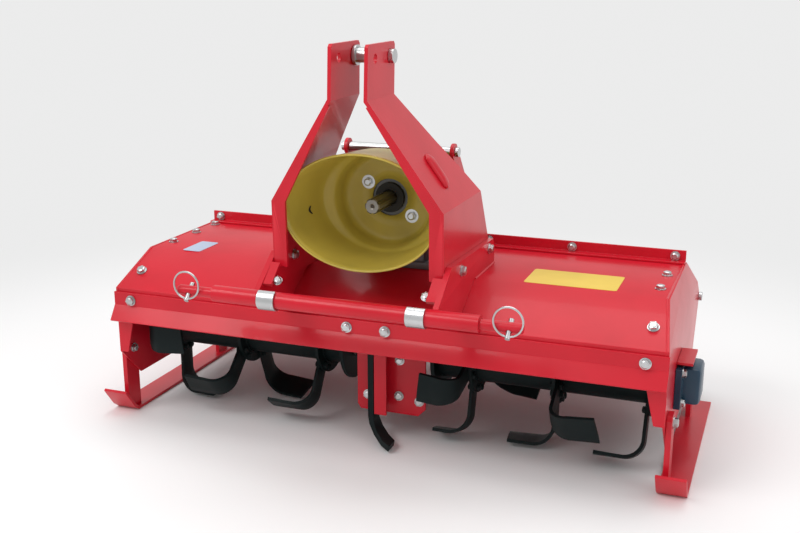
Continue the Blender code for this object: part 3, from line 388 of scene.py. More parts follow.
def boltTree(material):
    tree, groupIn, groupOut = newTree("hexBolts", boltSizes)
    shapes = []
    rows = [("GeometryNodeMeshCylinder", 6, "headRadius", "headHeight", "washerHeight"),
            ("GeometryNodeMeshCylinder", 24, "washerRadius", "washerHeight", None)]
    for kind, corners, radius, height, below in rows:
        body = tree.nodes.new(kind)
        body.inputs["Vertices"].default_value = corners
        tree.links.new(groupIn.outputs[radius], body.inputs["Radius"])
        tree.links.new(groupIn.outputs[height], body.inputs["Depth"])
        rise = addMath(tree, 'MULTIPLY', groupIn.outputs[height], 0.5)
        if below:
            rise = addMath(tree, 'ADD', rise, groupIn.outputs[below])
        shapes.append(raised(tree, body.outputs["Mesh"], rise))
    crown = tree.nodes.new("GeometryNodeMeshCone")       # rounded crown of the head
    crown.inputs["Vertices"].default_value = 24
    tree.links.new(groupIn.outputs["domeRadius"], crown.inputs["Radius Top"])
    crownFoot = addMath(tree, 'MULTIPLY', groupIn.outputs["headRadius"], 0.86)
    tree.links.new(crownFoot, crown.inputs["Radius Bottom"])
    tree.links.new(groupIn.outputs["domeHeight"], crown.inputs["Depth"])
    top = addMath(tree, 'ADD', groupIn.outputs["headHeight"], groupIn.outputs["washerHeight"])
    shapes.append(raised(tree, crown.outputs["Mesh"], top))
    join = tree.nodes.new("GeometryNodeJoinGeometry")
    for shape in shapes:
        tree.links.new(shape, join.inputs[0])

    aim = tree.nodes.new("GeometryNodeInputNamedAttribute")
    aim.data_type = 'FLOAT_VECTOR'
    aim.inputs["Name"].default_value = "aim"
    size = tree.nodes.new("GeometryNodeInputNamedAttribute")
    size.data_type = 'FLOAT'
    size.inputs["Name"].default_value = "size"
    align = tree.nodes.new("FunctionNodeAlignRotationToVector")
    align.axis = 'Z'
    tree.links.new(aim.outputs["Attribute"], align.inputs["Vector"])
    chance = tree.nodes.new("FunctionNodeRandomValue")
    chance.data_type = 'FLOAT'
    chance.inputs[2].default_value = 0.0
    chance.inputs[3].default_value = math.pi / 3
    tree.links.new(groupIn.outputs["seed"], chance.inputs["Seed"])
    twist = tree.nodes.new("FunctionNodeAxisAngleToRotation")
    tree.links.new(chance.outputs[1], twist.inputs["Angle"])
    turn = tree.nodes.new("FunctionNodeRotateRotation")
    turn.rotation_space = 'LOCAL'
    tree.links.new(align.outputs[0], turn.inputs["Rotation"])
    tree.links.new(twist.outputs[0], turn.inputs["Rotate By"])
    spread = tree.nodes.new("GeometryNodeInstanceOnPoints")
    tree.links.new(groupIn.outputs["Geometry"], spread.inputs["Points"])
    tree.links.new(join.outputs[0], spread.inputs["Instance"])
    tree.links.new(turn.outputs[0], spread.inputs["Rotation"])
    tree.links.new(size.outputs["Attribute"], spread.inputs["Scale"])
    endTree(tree, spread.outputs[0], groupOut, material)
    return tree


weldSizes = {"beadRadius": 0.0032, "step": 0.0014, "rippleDepth": 0.16, "rippleTurn": 1.3}


def weldTree(material):
    tree, groupIn, groupOut = newTree("weldBead", weldSizes)
    line = tree.nodes.new("GeometryNodeMeshToCurve")
    tree.links.new(groupIn.outputs["Geometry"], line.inputs[0])
    points = tree.nodes.new("GeometryNodeResampleCurve")
    points.mode = 'LENGTH'
    tree.links.new(line.outputs[0], points.inputs["Curve"])
    tree.links.new(groupIn.outputs["step"], points.inputs["Length"])
    index = tree.nodes.new("GeometryNodeInputIndex")
    wave = addMath(tree, 'SINE', addMath(tree, 'MULTIPLY', index.outputs[0], groupIn.outputs["rippleTurn"]))
    swell = addMath(tree, 'ADD', addMath(tree, 'MULTIPLY', wave, groupIn.outputs["rippleDepth"]), 1.0)
    radius = tree.nodes.new("GeometryNodeSetCurveRadius")
    tree.links.new(points.outputs[0], radius.inputs["Curve"])
    tree.links.new(swell, radius.inputs["Radius"])
    ring = tree.nodes.new("GeometryNodeCurvePrimitiveCircle")
    ring.inputs["Resolution"].default_value = 8
    tree.links.new(groupIn.outputs["beadRadius"], ring.inputs["Radius"])
    sweep = tree.nodes.new("GeometryNodeCurveToMesh")
    sweep.inputs["Fill Caps"].default_value = True
    tree.links.new(radius.outputs[0], sweep.inputs["Curve"])
    tree.links.new(ring.outputs["Curve"], sweep.inputs["Profile Curve"])
    smooth = tree.nodes.new("GeometryNodeSetShadeSmooth")
    tree.links.new(sweep.outputs[0], smooth.inputs["Geometry"])
    endTree(tree, smooth.outputs[0], groupOut, material)
    return tree


def grown(name, mesh, tree, body, changes=None):
    # runs a tree once on a seed mesh and keeps the plain result
    seed = bpy.data.objects.new(name + "_seed", mesh)
    scene.collection.objects.link(seed)
    modifier = seed.modifiers.new("grow", 'NODES')
    modifier.node_group = tree
    for socket in tree.interface.items_tree:
        if socket.in_out == 'INPUT' and changes and socket.name in changes:
            modifier[socket.identifier] = changes[socket.name]
    bpy.context.view_layer.update()
    result = bpy.data.meshes.new_from_object(seed.evaluated_get(bpy.context.evaluated_depsgraph_get()))
    bpy.data.objects.remove(seed, do_unlink=True)
    return settle(name, result, body)


def settle(name, mesh, body):
    # a finished mesh becomes a piece that rides on a body
    mesh.name = name
    piece = bpy.data.objects.new(name, mesh)
    scene.collection.objects.link(piece)
    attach(piece, body)
    return piece


def turnedPiece(name, profile, centre, body, coat, around=40):
    # profile of (x, radius) turned about an axis along X
    bm = bmesh.new()
    rings = []
    for x, radius in profile:
        turns = [2 * math.pi * i / around for i in range(around)]
        rings.append([bm.verts.new((centre[0] + x, centre[1] + radius * math.cos(turn),
                                    centre[2] + radius * math.sin(turn))) for turn in turns])
    for one, two in zip(rings, rings[1:]):
        for i in range(around):
            j = (i + 1) % around
            bm.faces.new((one[i], one[j], two[j], two[i])).smooth = True
    bm.faces.new(list(reversed(rings[0])))
    bm.faces.new(rings[-1])
    bmesh.ops.recalc_face_normals(bm, faces=bm.faces)
    mesh = bpy.data.meshes.new(name)
    bm.to_mesh(mesh)
    bm.free()
    mesh.materials.append(finish[coat])
    easeEdges(settle(name, mesh, body), 0.0008, 30)


boltMaker = {coat: boltTree(finish[coat]) for coat in ("zincPlate", "blackPaint")}
weldMaker = {coat: weldTree(finish[coat]) for coat in ("redPaint", "blackPaint")}


def bolts(name, rows, body, coat="zincPlate", changes=None):
    # rows: place, the way the head points, size
    mesh = bpy.data.meshes.new(name)
    mesh.from_pydata([row[0] for row in rows], [], [])
    mesh.attributes.new("aim", 'FLOAT_VECTOR', 'POINT')
    mesh.attributes.new("size", 'FLOAT', 'POINT')
    for i, (_, aim, size) in enumerate(rows):
        mesh.attributes["aim"].data[i].vector = aim
        mesh.attributes["size"].data[i].value = size
    grown(name, mesh, boltMaker[coat], body, changes)


def weld(name, path, body, coat="redPaint", radius=None):
    mesh = bpy.data.meshes.new(name)
    mesh.from_pydata(path, [(i, i + 1) for i in range(len(path) - 1)], [])
    changes = {"beadRadius": radius} if radius else None
    grown(name, mesh, weldMaker[coat], body, changes)


forward, upward = (0, -1, 0), (0, 0, 1)

# bolts in the hood and its ends

hoodBolts = {
    "apronX": (0.045, 0.603), "apronZ": 0.302, "slopeX": 0.607, "slopeY": -0.2201,
    "deckX": 0.600, "deckLeftY": (0.118, 0.022, -0.087), "deckRightY": (0.034, -0.080),
    "angleX": (-0.604, 0.151, 0.359, 0.602), "angleZ": 0.4165, "plate": 0.005,
}
hoodBolts["apronY"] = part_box("front_apron")[1].y - hoodBolts["plate"]
hoodBolts["angleY"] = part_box("rear_angle")[1].y - hoodBolts["plate"]
rows = [((side * x, hoodBolts["apronY"], hoodBolts["apronZ"]), forward, 1.0)
        for side in (-1, 1) for x in hoodBolts["apronX"]]
rows += [(onSlope(side * hoodBolts["slopeX"], hoodBolts["slopeY"]), slopeAim, 1.0) for side in (-1, 1)]
rows += [((-hoodBolts["deckX"], y, deckTop), upward, 0.95) for y in hoodBolts["deckLeftY"]]
rows += [((hoodBolts["deckX"], y, deckTop), upward, 0.95) for y in hoodBolts["deckRightY"]]
rows += [((x, hoodBolts["angleY"], hoodBolts["angleZ"]), forward, 0.9) for x in hoodBolts["angleX"]]
bolts("hood_bolts", rows, "frame")

# heads outside the end plates, their nuts inside

endBolts = {"postZ": (0.162, 0.120), "postY": (-0.2251, 0.2124), "flangeY": 0.052, "flangeZ": 0.034,
            "hubY": 0.027, "hubZ": 0.026, "postOut": 0.0123, "plateIn": 0.005, "flangeOut": 0.0143,
            "coverIn": 0.0096}
rows = []
for side, sign in (("left", -1), ("right", 1)):
    out = (sign, 0, 0)
    plateFace = max(abs(value.x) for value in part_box("end_plate_" + side))
    housingFace = max(abs(value.x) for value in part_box("bearing_housing_" + side))
    for y, z in zip(endBolts["postY"], endBolts["postZ"]):
        rows.append(((sign * (plateFace + endBolts["postOut"]), y, z), out, 1.0))
        rows.append(((sign * (plateFace - endBolts["plateIn"]), y, z), (-sign, 0, 0), 0.9))
    for dy in (-1, 1):
        for dz in (-1, 1):
            rows.append(((sign * (plateFace + endBolts["flangeOut"]), rotorAxis.y + dy * endBolts["flangeY"],
                          rotorAxis.z + dz * endBolts["flangeZ"]), out, 0.85))
            rows.append(((sign * (housingFace - endBolts["coverIn"]), rotorAxis.y + dy * endBolts["hubY"],
                          rotorAxis.z + dz * endBolts["hubZ"]), out, 0.62))
bolts("end_bolts", rows, "frame")

# the mast's feet, the guard's back, the shield and the clamps

mastBolts = {"outer": ((-0.0361, 0.4445), (-0.2451, 0.4465)), "guardX": 0.052, "guardZ": (0.599, 0.528),
             "shield": ((-0.048, 0.096), (0.032, 0.190), (0.030, 0.102), (0.080, 0.094)),
             "clamp": (0.168, -0.361, 0.416), "clampAim": (0, -0.55, 0.83), "bracket": 0.0205,
             "shieldPlate": 0.005, "guardPlate": 0.003}
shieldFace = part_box("drive_shield")[1].y - mastBolts["shieldPlate"]
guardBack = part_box("input_guard")[1].y - mastBolts["guardPlate"]
clampX, clampY, clampZ = mastBolts["clamp"]
rows = []
for side, sign in (("left", -1), ("right", 1)):
    bracketFace = max(abs(value.x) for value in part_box("hitch_bracket_" + side))
    for y, z in mastBolts["outer"]:
        rows.append(((sign * bracketFace, y, z), (sign, 0, 0), 1.0))
        rows.append(((sign * (bracketFace - mastBolts["bracket"]), y, z), (-sign, 0, 0), 0.95))
    rows.append(((sign * clampX, clampY, clampZ), mastBolts["clampAim"], 0.85))
rows += [((x, shieldFace, z), forward, 0.9) for x, z in mastBolts["shield"]]
bolts("mast_bolts", rows, "frame")
rows = [((sign * mastBolts["guardX"], guardBack, z), forward, 0.95)
        for sign, z in zip((-1, 1), mastBolts["guardZ"])]
wideWasher = {"washerRadius": 0.0165, "headHeight": 0.006}
bolts("guard_bolts", rows, "frame", changes=wideWasher)

# the gearbox: rear cap, foot, filler and drain plugs

boxBolts = {"capRadius": 0.046, "capCount": 6, "capIn": 0.0105, "footX": 0.089,
            "footY": (0.030, 0.085, -0.060, -0.005), "footUp": 0.0158, "plugY": -0.035, "plugSunk": 0.0003,
            "drain": (0.052, 0.0205, 0.045)}
boxLow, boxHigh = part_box("gearbox")
rows = []
for number in range(boxBolts["capCount"]):
    turn = math.radians(30 + 360 / boxBolts["capCount"] * number)
    rows.append(((boxBolts["capRadius"] * math.cos(turn), boxHigh.y - boxBolts["capIn"],
                  shaftAxis.z + boxBolts["capRadius"] * math.sin(turn)), (0, 1, 0), 0.5))
for side in (-1, 1):
    for y in boxBolts["footY"]:
        rows.append(((side * boxBolts["footX"], y, boxLow.z + boxBolts["footUp"]), upward, 0.72))
bolts("gearbox_bolts", rows, "frame")
drainX, drainIn, drainUp = boxBolts["drain"]
rows = [((0, boxBolts["plugY"], boxHigh.z - boxBolts["plugSunk"]), upward, 1.25),
        ((drainX, boxHigh.y - drainIn, boxLow.z + drainUp), (0, 1, 0), 0.8)]
bolts("gearbox_plugs", rows, "frame", "blackPaint")
print("frame bolts placed")

# blades: one tree bends a flat bar to shape and sets a copy at each place round a disc

bladeSizes = {"thick": 0.0078, "narrow": 0.0500, "wide": 0.0730, "root": 0.0500, "reach": 0.1842,
              "bend": 0.0420, "leg": 0.1120, "tipSlant": 0.0110, "sweep": 0.0700, "edge": 0.30}
shortLeg = 0.0880
discSizes = {"radius": 0.088, "half": 0.004, "hubRadius": 0.0613, "boltRadius": 0.076, "boltApart": 0.012,
             "boltSize": 0.72}
blades = {                                       # disc: (its side, degrees from forward through down)
    1: ((1, 0), (1, 90), (1, 180), (1, 270)),
    2: ((-1, 42), (1, 112), (-1, 222), (1, 292)),
    3: ((-1, 58), (1, 150), (-1, 238), (1, 330)),
    4: ((-1, 74), (1, 145), (-1, 12), (1, 325)),
    5: ((1, 28), (-1, 86), (1, 208), (-1, 266)),
    6: ((-1, 66), (-1, 156), (-1, 246), (-1, 336)),
}
shortBlades = {3: 1, 4: -1}                      # disc: the side whose blades stand by the drive case
discX = {1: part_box("tine_set_1")[0].x + discSizes["half"],
         6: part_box("tine_set_6")[1].x - discSizes["half"], 3: -0.180, 4: 0.200}
for number in (2, 5):
    discX[number] = middle(f"tine_set_{number}").x


def mapped(tree, value, fromMin, fromMax, toMin, toMax):
    node = tree.nodes.new("ShaderNodeMapRange")
    for label, part in (("Value", value), ("From Min", fromMin), ("From Max", fromMax),
                        ("To Min", toMin), ("To Max", toMax)):
        if isinstance(part, (int, float)):
            node.inputs[label].default_value = part
        else:
            tree.links.new(part, node.inputs[label])
    return node.outputs[0]


def bladeTree(material):
    tree, groupIn, groupOut = newTree("discBlades", bladeSizes)
    size = groupIn.outputs

    def calc(operation, *values):
        return addMath(tree, operation, *values)

    straight = calc('SUBTRACT', calc('SUBTRACT', size["reach"], size["bend"]), size["root"])
    curved = calc('MULTIPLY', size["bend"], math.pi / 2)
    bendEnd = calc('ADD', straight, curved)
    total = calc('ADD', bendEnd, calc('SUBTRACT', size["leg"], size["bend"]))
    bar = tree.nodes.new("GeometryNodeMeshCube")
    full = tree.nodes.new("ShaderNodeCombineXYZ")
    tree.links.new(size["thick"], full.inputs["X"])
    full.inputs["Y"].default_value = 1.0
    tree.links.new(total, full.inputs["Z"])
    tree.links.new(full.outputs[0], bar.inputs["Size"])
    for label, count in (("Vertices X", 2), ("Vertices Y", 6), ("Vertices Z", 44)):
        bar.inputs[label].default_value = count
    here = tree.nodes.new("ShaderNodeSeparateXYZ")
    tree.links.new(tree.nodes.new("GeometryNodeInputPosition").outputs[0], here.inputs[0])
    across = here.outputs["Y"]
    run = calc('ADD', here.outputs["Z"], calc('MULTIPLY', total, 0.5))
    late = mapped(tree, run, bendEnd, total, 0.0, 1.0)
    slant = calc('MULTIPLY', calc('MULTIPLY', late, size["tipSlant"]), calc('ADD', across, 0.5))
    run = calc('SUBTRACT', run, slant)
    turn = calc('DIVIDE', calc('SUBTRACT', run, straight), size["bend"])
    turn = calc('MAXIMUM', calc('MINIMUM', turn, math.pi / 2), 0.0)
    sine, cosine = calc('SINE', turn), calc('COSINE', turn)
    off = calc('MULTIPLY', here.outputs["X"], mapped(tree, across, -0.5, -0.25, size["edge"], 1.0))
    x = calc('MULTIPLY', size["bend"], calc('SUBTRACT', 1.0, cosine))
    x = calc('ADD', x, calc('MAXIMUM', calc('SUBTRACT', run, bendEnd), 0.0))
    x = calc('ADD', x, calc('MULTIPLY', off, cosine))
    z = calc('ADD', size["root"], calc('MINIMUM', run, straight))
    z = calc('ADD', z, calc('MULTIPLY', size["bend"], sine))
    z = calc('SUBTRACT', z, calc('MULTIPLY', off, sine))
    y = calc('MULTIPLY', across, mapped(tree, run, straight, bendEnd, size["narrow"], size["wide"]))
    bent = tree.nodes.new("ShaderNodeCombineXYZ")
    for label, value in (("X", x), ("Y", y), ("Z", z)):
        tree.links.new(value, bent.inputs[label])
    swept = tree.nodes.new("ShaderNodeVectorRotate")
    swept.rotation_type = 'X_AXIS'
    tree.links.new(bent.outputs[0], swept.inputs["Vector"])
    back = calc('MULTIPLY', size["sweep"], -1.0)
    angle = calc('MULTIPLY', mapped(tree, run, straight, total, 0.0, 1.0), back)
    tree.links.new(angle, swept.inputs["Angle"])
    shaped = tree.nodes.new("GeometryNodeSetPosition")
    tree.links.new(bar.outputs["Mesh"], shaped.inputs["Geometry"])
    tree.links.new(swept.outputs[0], shaped.inputs["Position"])

    aim = tree.nodes.new("GeometryNodeInputNamedAttribute")
    aim.data_type = 'FLOAT_VECTOR'
    aim.inputs["Name"].default_value = "turned"
    flip = tree.nodes.new("GeometryNodeInputNamedAttribute")
    flip.data_type = 'FLOAT_VECTOR'
    flip.inputs["Name"].default_value = "flip"
    spread = tree.nodes.new("GeometryNodeInstanceOnPoints")
    tree.links.new(groupIn.outputs["Geometry"], spread.inputs["Points"])
    tree.links.new(shaped.outputs[0], spread.inputs["Instance"])
    tree.links.new(aim.outputs["Attribute"], spread.inputs["Rotation"])
    tree.links.new(flip.outputs["Attribute"], spread.inputs["Scale"])
    endTree(tree, spread.outputs[0], groupOut, material)
    return tree


bladeMaker = bladeTree(finish["blackPaint"])


def placeBlades(name, number, rows, leg):
    mesh = bpy.data.meshes.new(name)
    reachOut = discSizes["half"] + bladeSizes["thick"] / 2 - 0.0005
    mesh.from_pydata([(discX[number] + way * reachOut, rotorAxis.y, rotorAxis.z) for way, _ in rows], [], [])
    mesh.attributes.new("turned", 'FLOAT_VECTOR', 'POINT')
    mesh.attributes.new("flip", 'FLOAT_VECTOR', 'POINT')
    for i, (way, angle) in enumerate(rows):
        mesh.attributes["turned"].data[i].vector = (math.radians(90 + angle), 0, 0)
        mesh.attributes["flip"].data[i].vector = (way, 1, 1)
    piece = grown(name, mesh, bladeMaker, "rotor", {"leg": leg})
    bm = bmesh.new()
    bm.from_mesh(piece.data)
    bmesh.ops.recalc_face_normals(bm, faces=bm.faces)
    for face in bm.faces:
        face.smooth = True
    bm.to_mesh(piece.data)
    bm.free()
    easeEdges(piece, 0.0007, 35)
    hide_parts(f"tine_set_{number}")


for number, table in blades.items():
    short = [row for row in table if row[0] == shortBlades.get(number)]
    long = [row for row in table if row not in short]
    placeBlades(f"blades_{number}", number, long, bladeSizes["leg"])
    if short:
        placeBlades(f"short_blades_{number}", number, short, shortLeg)
    ring = [(-discSizes["half"], discSizes["hubRadius"]), (-discSizes["half"], discSizes["radius"]),
            (discSizes["half"], discSizes["radius"]), (discSizes["half"], discSizes["hubRadius"])]
    hub = (discX[number], rotorAxis.y, rotorAxis.z)
    turnedPiece(f"disc_{number}", ring, hub, "rotor", "blackPaint", 48)
rows = []
for number, table in blades.items():
    for way, angle in table:
        lead = math.radians(angle)
        for shift in (-discSizes["boltApart"], discSizes["boltApart"]):
            y = rotorAxis.y - discSizes["boltRadius"] * math.cos(lead) + shift * math.sin(lead)
            z = rotorAxis.z - discSizes["boltRadius"] * math.sin(lead) - shift * math.cos(lead)
            bladeFace = discX[number] + way * (discSizes["half"] + bladeSizes["thick"] - 0.0007)
            discFace = discX[number] - way * discSizes["half"]
            rows.append(((bladeFace, y, z), (way, 0, 0), discSizes["boltSize"]))
            rows.append(((discFace, y, z), (-way, 0, 0), discSizes["boltSize"]))
bolts("blade_bolts", rows, "rotor", "blackPaint")
print("blades and their bolts placed")

# weld beads

seams = {"air": 0.0008, "hoodBead": 0.0028, "bracketX": 0.2068, "bracketFrom": 0.004, "bracketTo": 0.006,
         "discRing": 0.0622, "discOut": 0.0045, "discBead": 0.0030, "ringSteps": 48}


def hoodEdge(sign, y, z):
    share = max(0.0, (z - bendZ) / (deckTop - hoodShape["sheet"] - bendZ))
    return (sign * (hoodHigh.x - share * hoodShape["lean"] + seams["air"]), y, z)


for side, sign in (("left", -1), ("right", 1)):
    profile = [(frontY + 0.0015, hoodLow.z + 0.012), (frontY + 0.0015, bendZ), (browY, deckTop - 0.001),
               (hoodHigh.y - hoodShape["backRun"], deckTop - 0.001),
               (hoodHigh.y - 0.006, hoodLow.z + 0.0095)]
    path = [hoodEdge(sign, y, z) for y, z in profile]
    weld("hood_seam_" + side, path, "frame", radius=seams["hoodBead"])
    path = [(sign * seams["bracketX"], y, deckTop)
            for y in (browY + seams["bracketFrom"], seams["bracketTo"])]
    weld("bracket_seam_" + side, path, "frame")
for number in discX:
    turns = [2 * math.pi * step / seams["ringSteps"] for step in range(seams["ringSteps"] + 1)]
    path = [(discX[number] + seams["discOut"], rotorAxis.y + seams["discRing"] * math.cos(turn),
             rotorAxis.z + seams["discRing"] * math.sin(turn)) for turn in turns]
    weld(f"disc_weld_{number}", path, "rotor", "blackPaint", seams["discBead"])
print("welds laid")


# the oval bowl round the input shaft

guardSizes = {"wall": 0.003, "rimRadius": 0.0032, "around": 112, "holeRadius": 0.042,
              "backHalf": (0.112, 0.106), "softCorner": 0.020, "ledgeDepth": 0.055}


def guardRings():
    low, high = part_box("input_guard")
    back, front = high.y - guardSizes["wall"], low.y
    rimA = (high.x - low.x) / 2 - 0.0015
    rimB = (high.z - low.z) / 2 - 0.0015
    a0, b0 = guardSizes["backHalf"]
    corner = guardSizes["softCorner"]
    rings = [(back, guardSizes["holeRadius"], guardSizes["holeRadius"]), (back, 0.070, 0.068),
             (back, a0 - corner, b0 - corner * 0.8)]
    for step in range(1, 7):                     # soft corner between the flat back and the wall
        turn = math.radians(15 * step)
        rings.append((back - corner * (1 - math.cos(turn)), a0 - corner + corner * math.sin(turn),
                      b0 - corner * 0.8 + corner * 0.8 * math.sin(turn)))
    ledgeY = back - corner - guardSizes["ledgeDepth"] * 0.35
    rings.append((ledgeY, a0 + 0.006, b0 + 0.004))
    for step in range(1, 5):                     # shallow ledge half way along the wall
        share = step / 4
        ease = share * share * (3 - 2 * share)
        rings.append((ledgeY - 0.014 * share, a0 + 0.006 + 0.026 * ease, b0 + 0.004 + 0.007 * ease))
    lastY, lastA, lastB = rings[-1]
    for step in range(1, 9):                     # flare to the rim
        share = step / 8
        rings.append((lastY + (front + 0.001 - lastY) * share, lastA + (rimA - lastA) * share ** 0.85,
                      lastB + (rimB - lastB) * share ** 0.85))
    return rings


def makeGuard():
    rings = guardRings()
    centreZ = shaftAxis.z
    count = guardSizes["around"]
    bm = bmesh.new()
    loops = []
    for y, a, b in rings:
        loops.append([bm.verts.new((a * math.cos(turn), y, centreZ + b * math.sin(turn)))
                      for turn in (2 * math.pi * i / count for i in range(count))])
    for one, two in zip(loops, loops[1:]):
        for i in range(count):
            j = (i + 1) % count
            bm.faces.new((one[i], two[i], two[j], one[j])).smooth = True
    bmesh.ops.recalc_face_normals(bm, faces=bm.faces)
    mesh = bpy.data.meshes.new("guard_bowl")
    bm.to_mesh(mesh)
    bm.free()
    mesh.materials.append(finish["olivePaint"])
    bowl = settle("guard_bowl", mesh, "frame")
    wall = bowl.modifiers.new("wall", 'SOLIDIFY')
    wall.thickness = guardSizes["wall"]
    wall.offset = 0.0
    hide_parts("input_guard")

    y, a, b = rings[-1]
    rim = [(a * math.cos(turn), y + 0.0022, centreZ + b * math.sin(turn))
           for turn in (2 * math.pi * i / count for i in range(count))]
    curve = bpy.data.curves.new("guard_rim", 'CURVE')
    curve.dimensions = '3D'
    curve.bevel_depth = guardSizes["rimRadius"] * 0.8
    curve.bevel_resolution = 3
    spline = curve.splines.new('POLY')
    spline.points.add(count - 1)
    for point, place in zip(spline.points, rim):
        point.co = (*place, 1)
    spline.use_cyclic_u = True
    temp = bpy.data.objects.new("guard_rim_curve", curve)
    scene.collection.objects.link(temp)
    bpy.context.view_layer.update()
    mesh = bpy.data.meshes.new_from_object(temp.evaluated_get(bpy.context.evaluated_depsgraph_get()))
    bpy.data.objects.remove(temp, do_unlink=True)
    for face in mesh.polygons:
        face.use_smooth = True
    mesh.materials.clear()
    mesh.materials.append(finish["olivePaint"])
    settle("guard_rim", mesh, "frame")


    # a dark sheet just inside the left wall, painted shade standing for the narrow slot low in the wall
    slotShadeBm, strip = bmesh.new(), []
    lastY, lastA, lastB = rings[-9]
    for step in range(9):
        turn = math.radians(186 + step * 1.1)
        bow = 0.006 * math.sin(math.pi * step / 8)
        pair = []
        for share in (0.30 + bow * 6, 0.335 + bow * 9):
            a = lastA + (rings[-1][1] - lastA) * share ** 0.85 - 0.0024
            b = lastB + (rings[-1][2] - lastB) * share ** 0.85 - 0.0024
            y = lastY + (rings[-1][0] - lastY) * share
            pair.append(slotShadeBm.verts.new((a * math.cos(turn), y, centreZ + b * math.sin(turn))))
        strip.append(pair)
    for one, two in zip(strip, strip[1:]):
        slotShadeBm.faces.new((one[0], one[1], two[1], two[0]))
    mesh = bpy.data.meshes.new("guard_slot_shade_sheet")
    slotShadeBm.to_mesh(mesh)
    slotShadeBm.free()
    # the near-black rubber finish is painted shade where the slot's opening would be
    mesh.materials.append(finish["rubber"])
    settle("guard_slot_shade_sheet", mesh, "frame")


makeGuard()
print("guard made")


# splined input shaft with a chamfered end and a centre hole

shaftSizes = {"teeth": 6, "chamfer": 0.0024, "rootDepth": 0.0030, "centreHole": 0.0042, "holeDepth": 0.006}


def makeShaft():
    low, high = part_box("input_shaft")
    outer = (high.x - low.x) / 2 - 0.0003
    root = outer - shaftSizes["rootDepth"]
    tooth = ((-0.29, outer), (-0.15, outer), (0.0, outer), (0.15, outer), (0.29, outer),
             (0.37, root), (0.50, root), (0.63, root))
    section = [(2 * math.pi * (number + share) / shaftSizes["teeth"], radius)
               for number in range(shaftSizes["teeth"]) for share, radius in tooth]
    capped = outer - shaftSizes["chamfer"]
    hole = shaftSizes["centreHole"]
    loops = [(high.y, None), (low.y + shaftSizes["chamfer"], None), (low.y, capped), (low.y, hole * 1.5),
             (low.y + 0.0012, hole), (low.y + shaftSizes["holeDepth"], 0.0006)]
    bm = bmesh.new()
    rings = []
    for y, limit in loops:
        ring = []
        for turn, radius in section:
            reach = radius if limit is None else min(radius, limit)
            ring.append(bm.verts.new((reach * math.cos(turn), y, shaftAxis.z + reach * math.sin(turn))))
        rings.append(ring)
    for one, two in zip(rings, rings[1:]):
        for i in range(len(one)):
            j = (i + 1) % len(one)
            bm.faces.new((one[i], two[i], two[j], one[j]))
    bm.faces.new(rings[0])
    bm.faces.new(list(reversed(rings[-1])))
    bmesh.ops.recalc_face_normals(bm, faces=bm.faces)
    mesh = bpy.data.meshes.new("splined_shaft")
    bm.to_mesh(mesh)
    bm.free()
    mesh.materials.append(finish["shaftSteel"])
    shaft = settle("splined_shaft", mesh, "pto_shaft")
    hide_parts("input_shaft")


makeShaft()


spacer = middle("top_spacer_bolt")
collar = {"radius": 0.0215, "wide": 0.007, "from": -0.0345}
profile = [(collar["from"] + step, collar["radius"]) for step in (0, collar["wide"])]
turnedPiece("spacer_collar", profile, (0, spacer.y, spacer.z), "frame", "zincPlate")
print("shaft and spacer made")


# pressed bead on each mast plate

beadSizes = {"top": (0.134, -0.2445, 0.674), "foot": (0.163, -0.2375, 0.629), "halfWidth": 0.0155,
             "proud": 0.0110, "plateTop": (0.0395, 0.807), "plateFoot": (0.190, 0.583),
             "rows": 10, "around": 28}


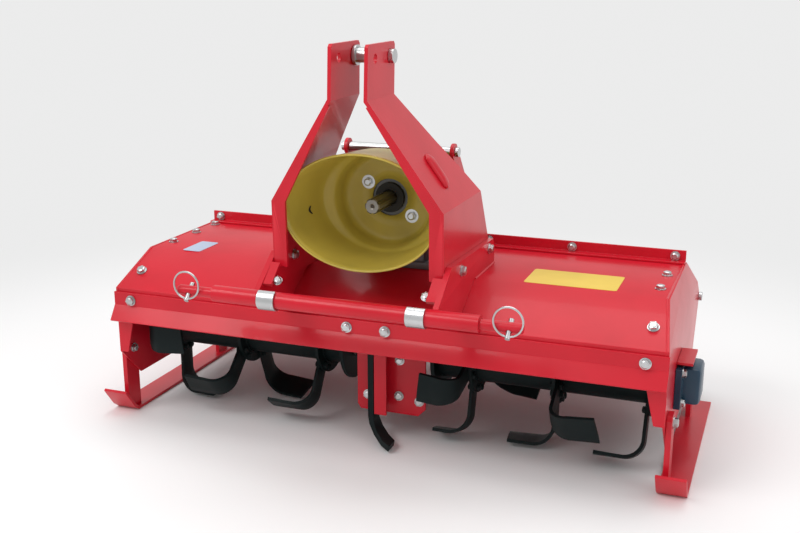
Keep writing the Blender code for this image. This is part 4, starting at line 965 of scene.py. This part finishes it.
def makeBead(side, sign):
    top = Vector((sign * beadSizes["top"][0], *beadSizes["top"][1:]))
    foot = Vector((sign * beadSizes["foot"][0], *beadSizes["foot"][1:]))
    plateAim = Vector((sign * 0.83, 0, 0.558)).normalized()
    run = (foot - top)
    run -= plateAim * run.dot(plateAim)
    length = run.length
    along = run.normalized()
    across = plateAim.cross(along)
    (topX, topZ), (footX, footZ) = beadSizes["plateTop"], beadSizes["plateFoot"]
    faceX = topX + (topZ - (top.z + foot.z) / 2) / (topZ - footZ) * (footX - topX)
    centre = Vector((sign * faceX, (top.y + foot.y) / 2, (top.z + foot.z) / 2)) + plateAim * 0.0038
    bm = bmesh.new()
    rows, cols = beadSizes["rows"], beadSizes["around"]
    reachLong, reachWide = length / 2 + beadSizes["halfWidth"], beadSizes["halfWidth"]
    straight = reachLong - reachWide
    loops = []
    for i in range(rows + 1):
        share = math.cos(math.pi / 2 * i / rows)
        height = math.sin(math.pi / 2 * i / rows) ** 0.8 * beadSizes["proud"]
        loop = []
        for j in range(cols):
            turn = 2 * math.pi * j / cols
            offset = straight if math.cos(turn) > 0 else -straight
            p = along * (offset * (0.35 + 0.65 * share) + reachWide * share * math.cos(turn))
            p += across * (reachWide * share * math.sin(turn)) + plateAim * height
            loop.append(bm.verts.new(centre + p))
        loops.append(loop)
    for one, two in zip(loops, loops[1:]):
        for j in range(cols):
            k = (j + 1) % cols
            bm.faces.new((one[j], one[k], two[k], two[j])).smooth = True
    bm.faces.new(list(reversed(loops[0])))
    bmesh.ops.remove_doubles(bm, verts=bm.verts, dist=1e-6)
    bmesh.ops.recalc_face_normals(bm, faces=bm.faces)
    mesh = bpy.data.meshes.new("mast_bead_" + side)
    bm.to_mesh(mesh)
    bm.free()
    mesh.materials.append(finish["redPaint"])
    settle("mast_bead_" + side, mesh, "frame")


for side, sign in (("left", -1), ("right", 1)):
    makeBead(side, sign)


# blank plates stuck on the hood

plates = {
    "label_plate": {"x": (0.312, 0.515), "y": (-0.130, -0.015), "coat": "yellowPlate"},
    "side_label": {"x": (-0.536, -0.488), "y": (-0.150, -0.056), "coat": "whitePlate"},
}
plateSizes = {"corner": 0.006, "air": 0.0002, "thick": 0.0005}
for name, spec in plates.items():
    (x0, x1), (y0, y1) = spec["x"], spec["y"]
    radius, bm = plateSizes["corner"], bmesh.new()
    outline = []
    for cx, cy, start in ((x1 - radius, y1 - radius, 0), (x0 + radius, y1 - radius, 90),
                          (x0 + radius, y0 + radius, 180), (x1 - radius, y0 + radius, 270)):
        for step in (0, 30, 60, 90):
            turn = math.radians(start + step)
            outline.append((cx + radius * math.cos(turn), cy + radius * math.sin(turn)))
    face = bm.faces.new([bm.verts.new((x, y, deckTop + plateSizes["air"])) for x, y in outline])
    solid = bmesh.ops.extrude_face_region(bm, geom=[face])
    top = [part for part in solid["geom"] if isinstance(part, bmesh.types.BMVert)]
    bmesh.ops.translate(bm, vec=(0, 0, plateSizes["thick"]), verts=top)
    bmesh.ops.recalc_face_normals(bm, faces=bm.faces)
    mesh = bpy.data.meshes.new(name)
    bm.to_mesh(mesh)
    bm.free()
    mesh.materials.append(finish[spec["coat"]])
    settle(name, mesh, "frame")
print("plates stuck on")
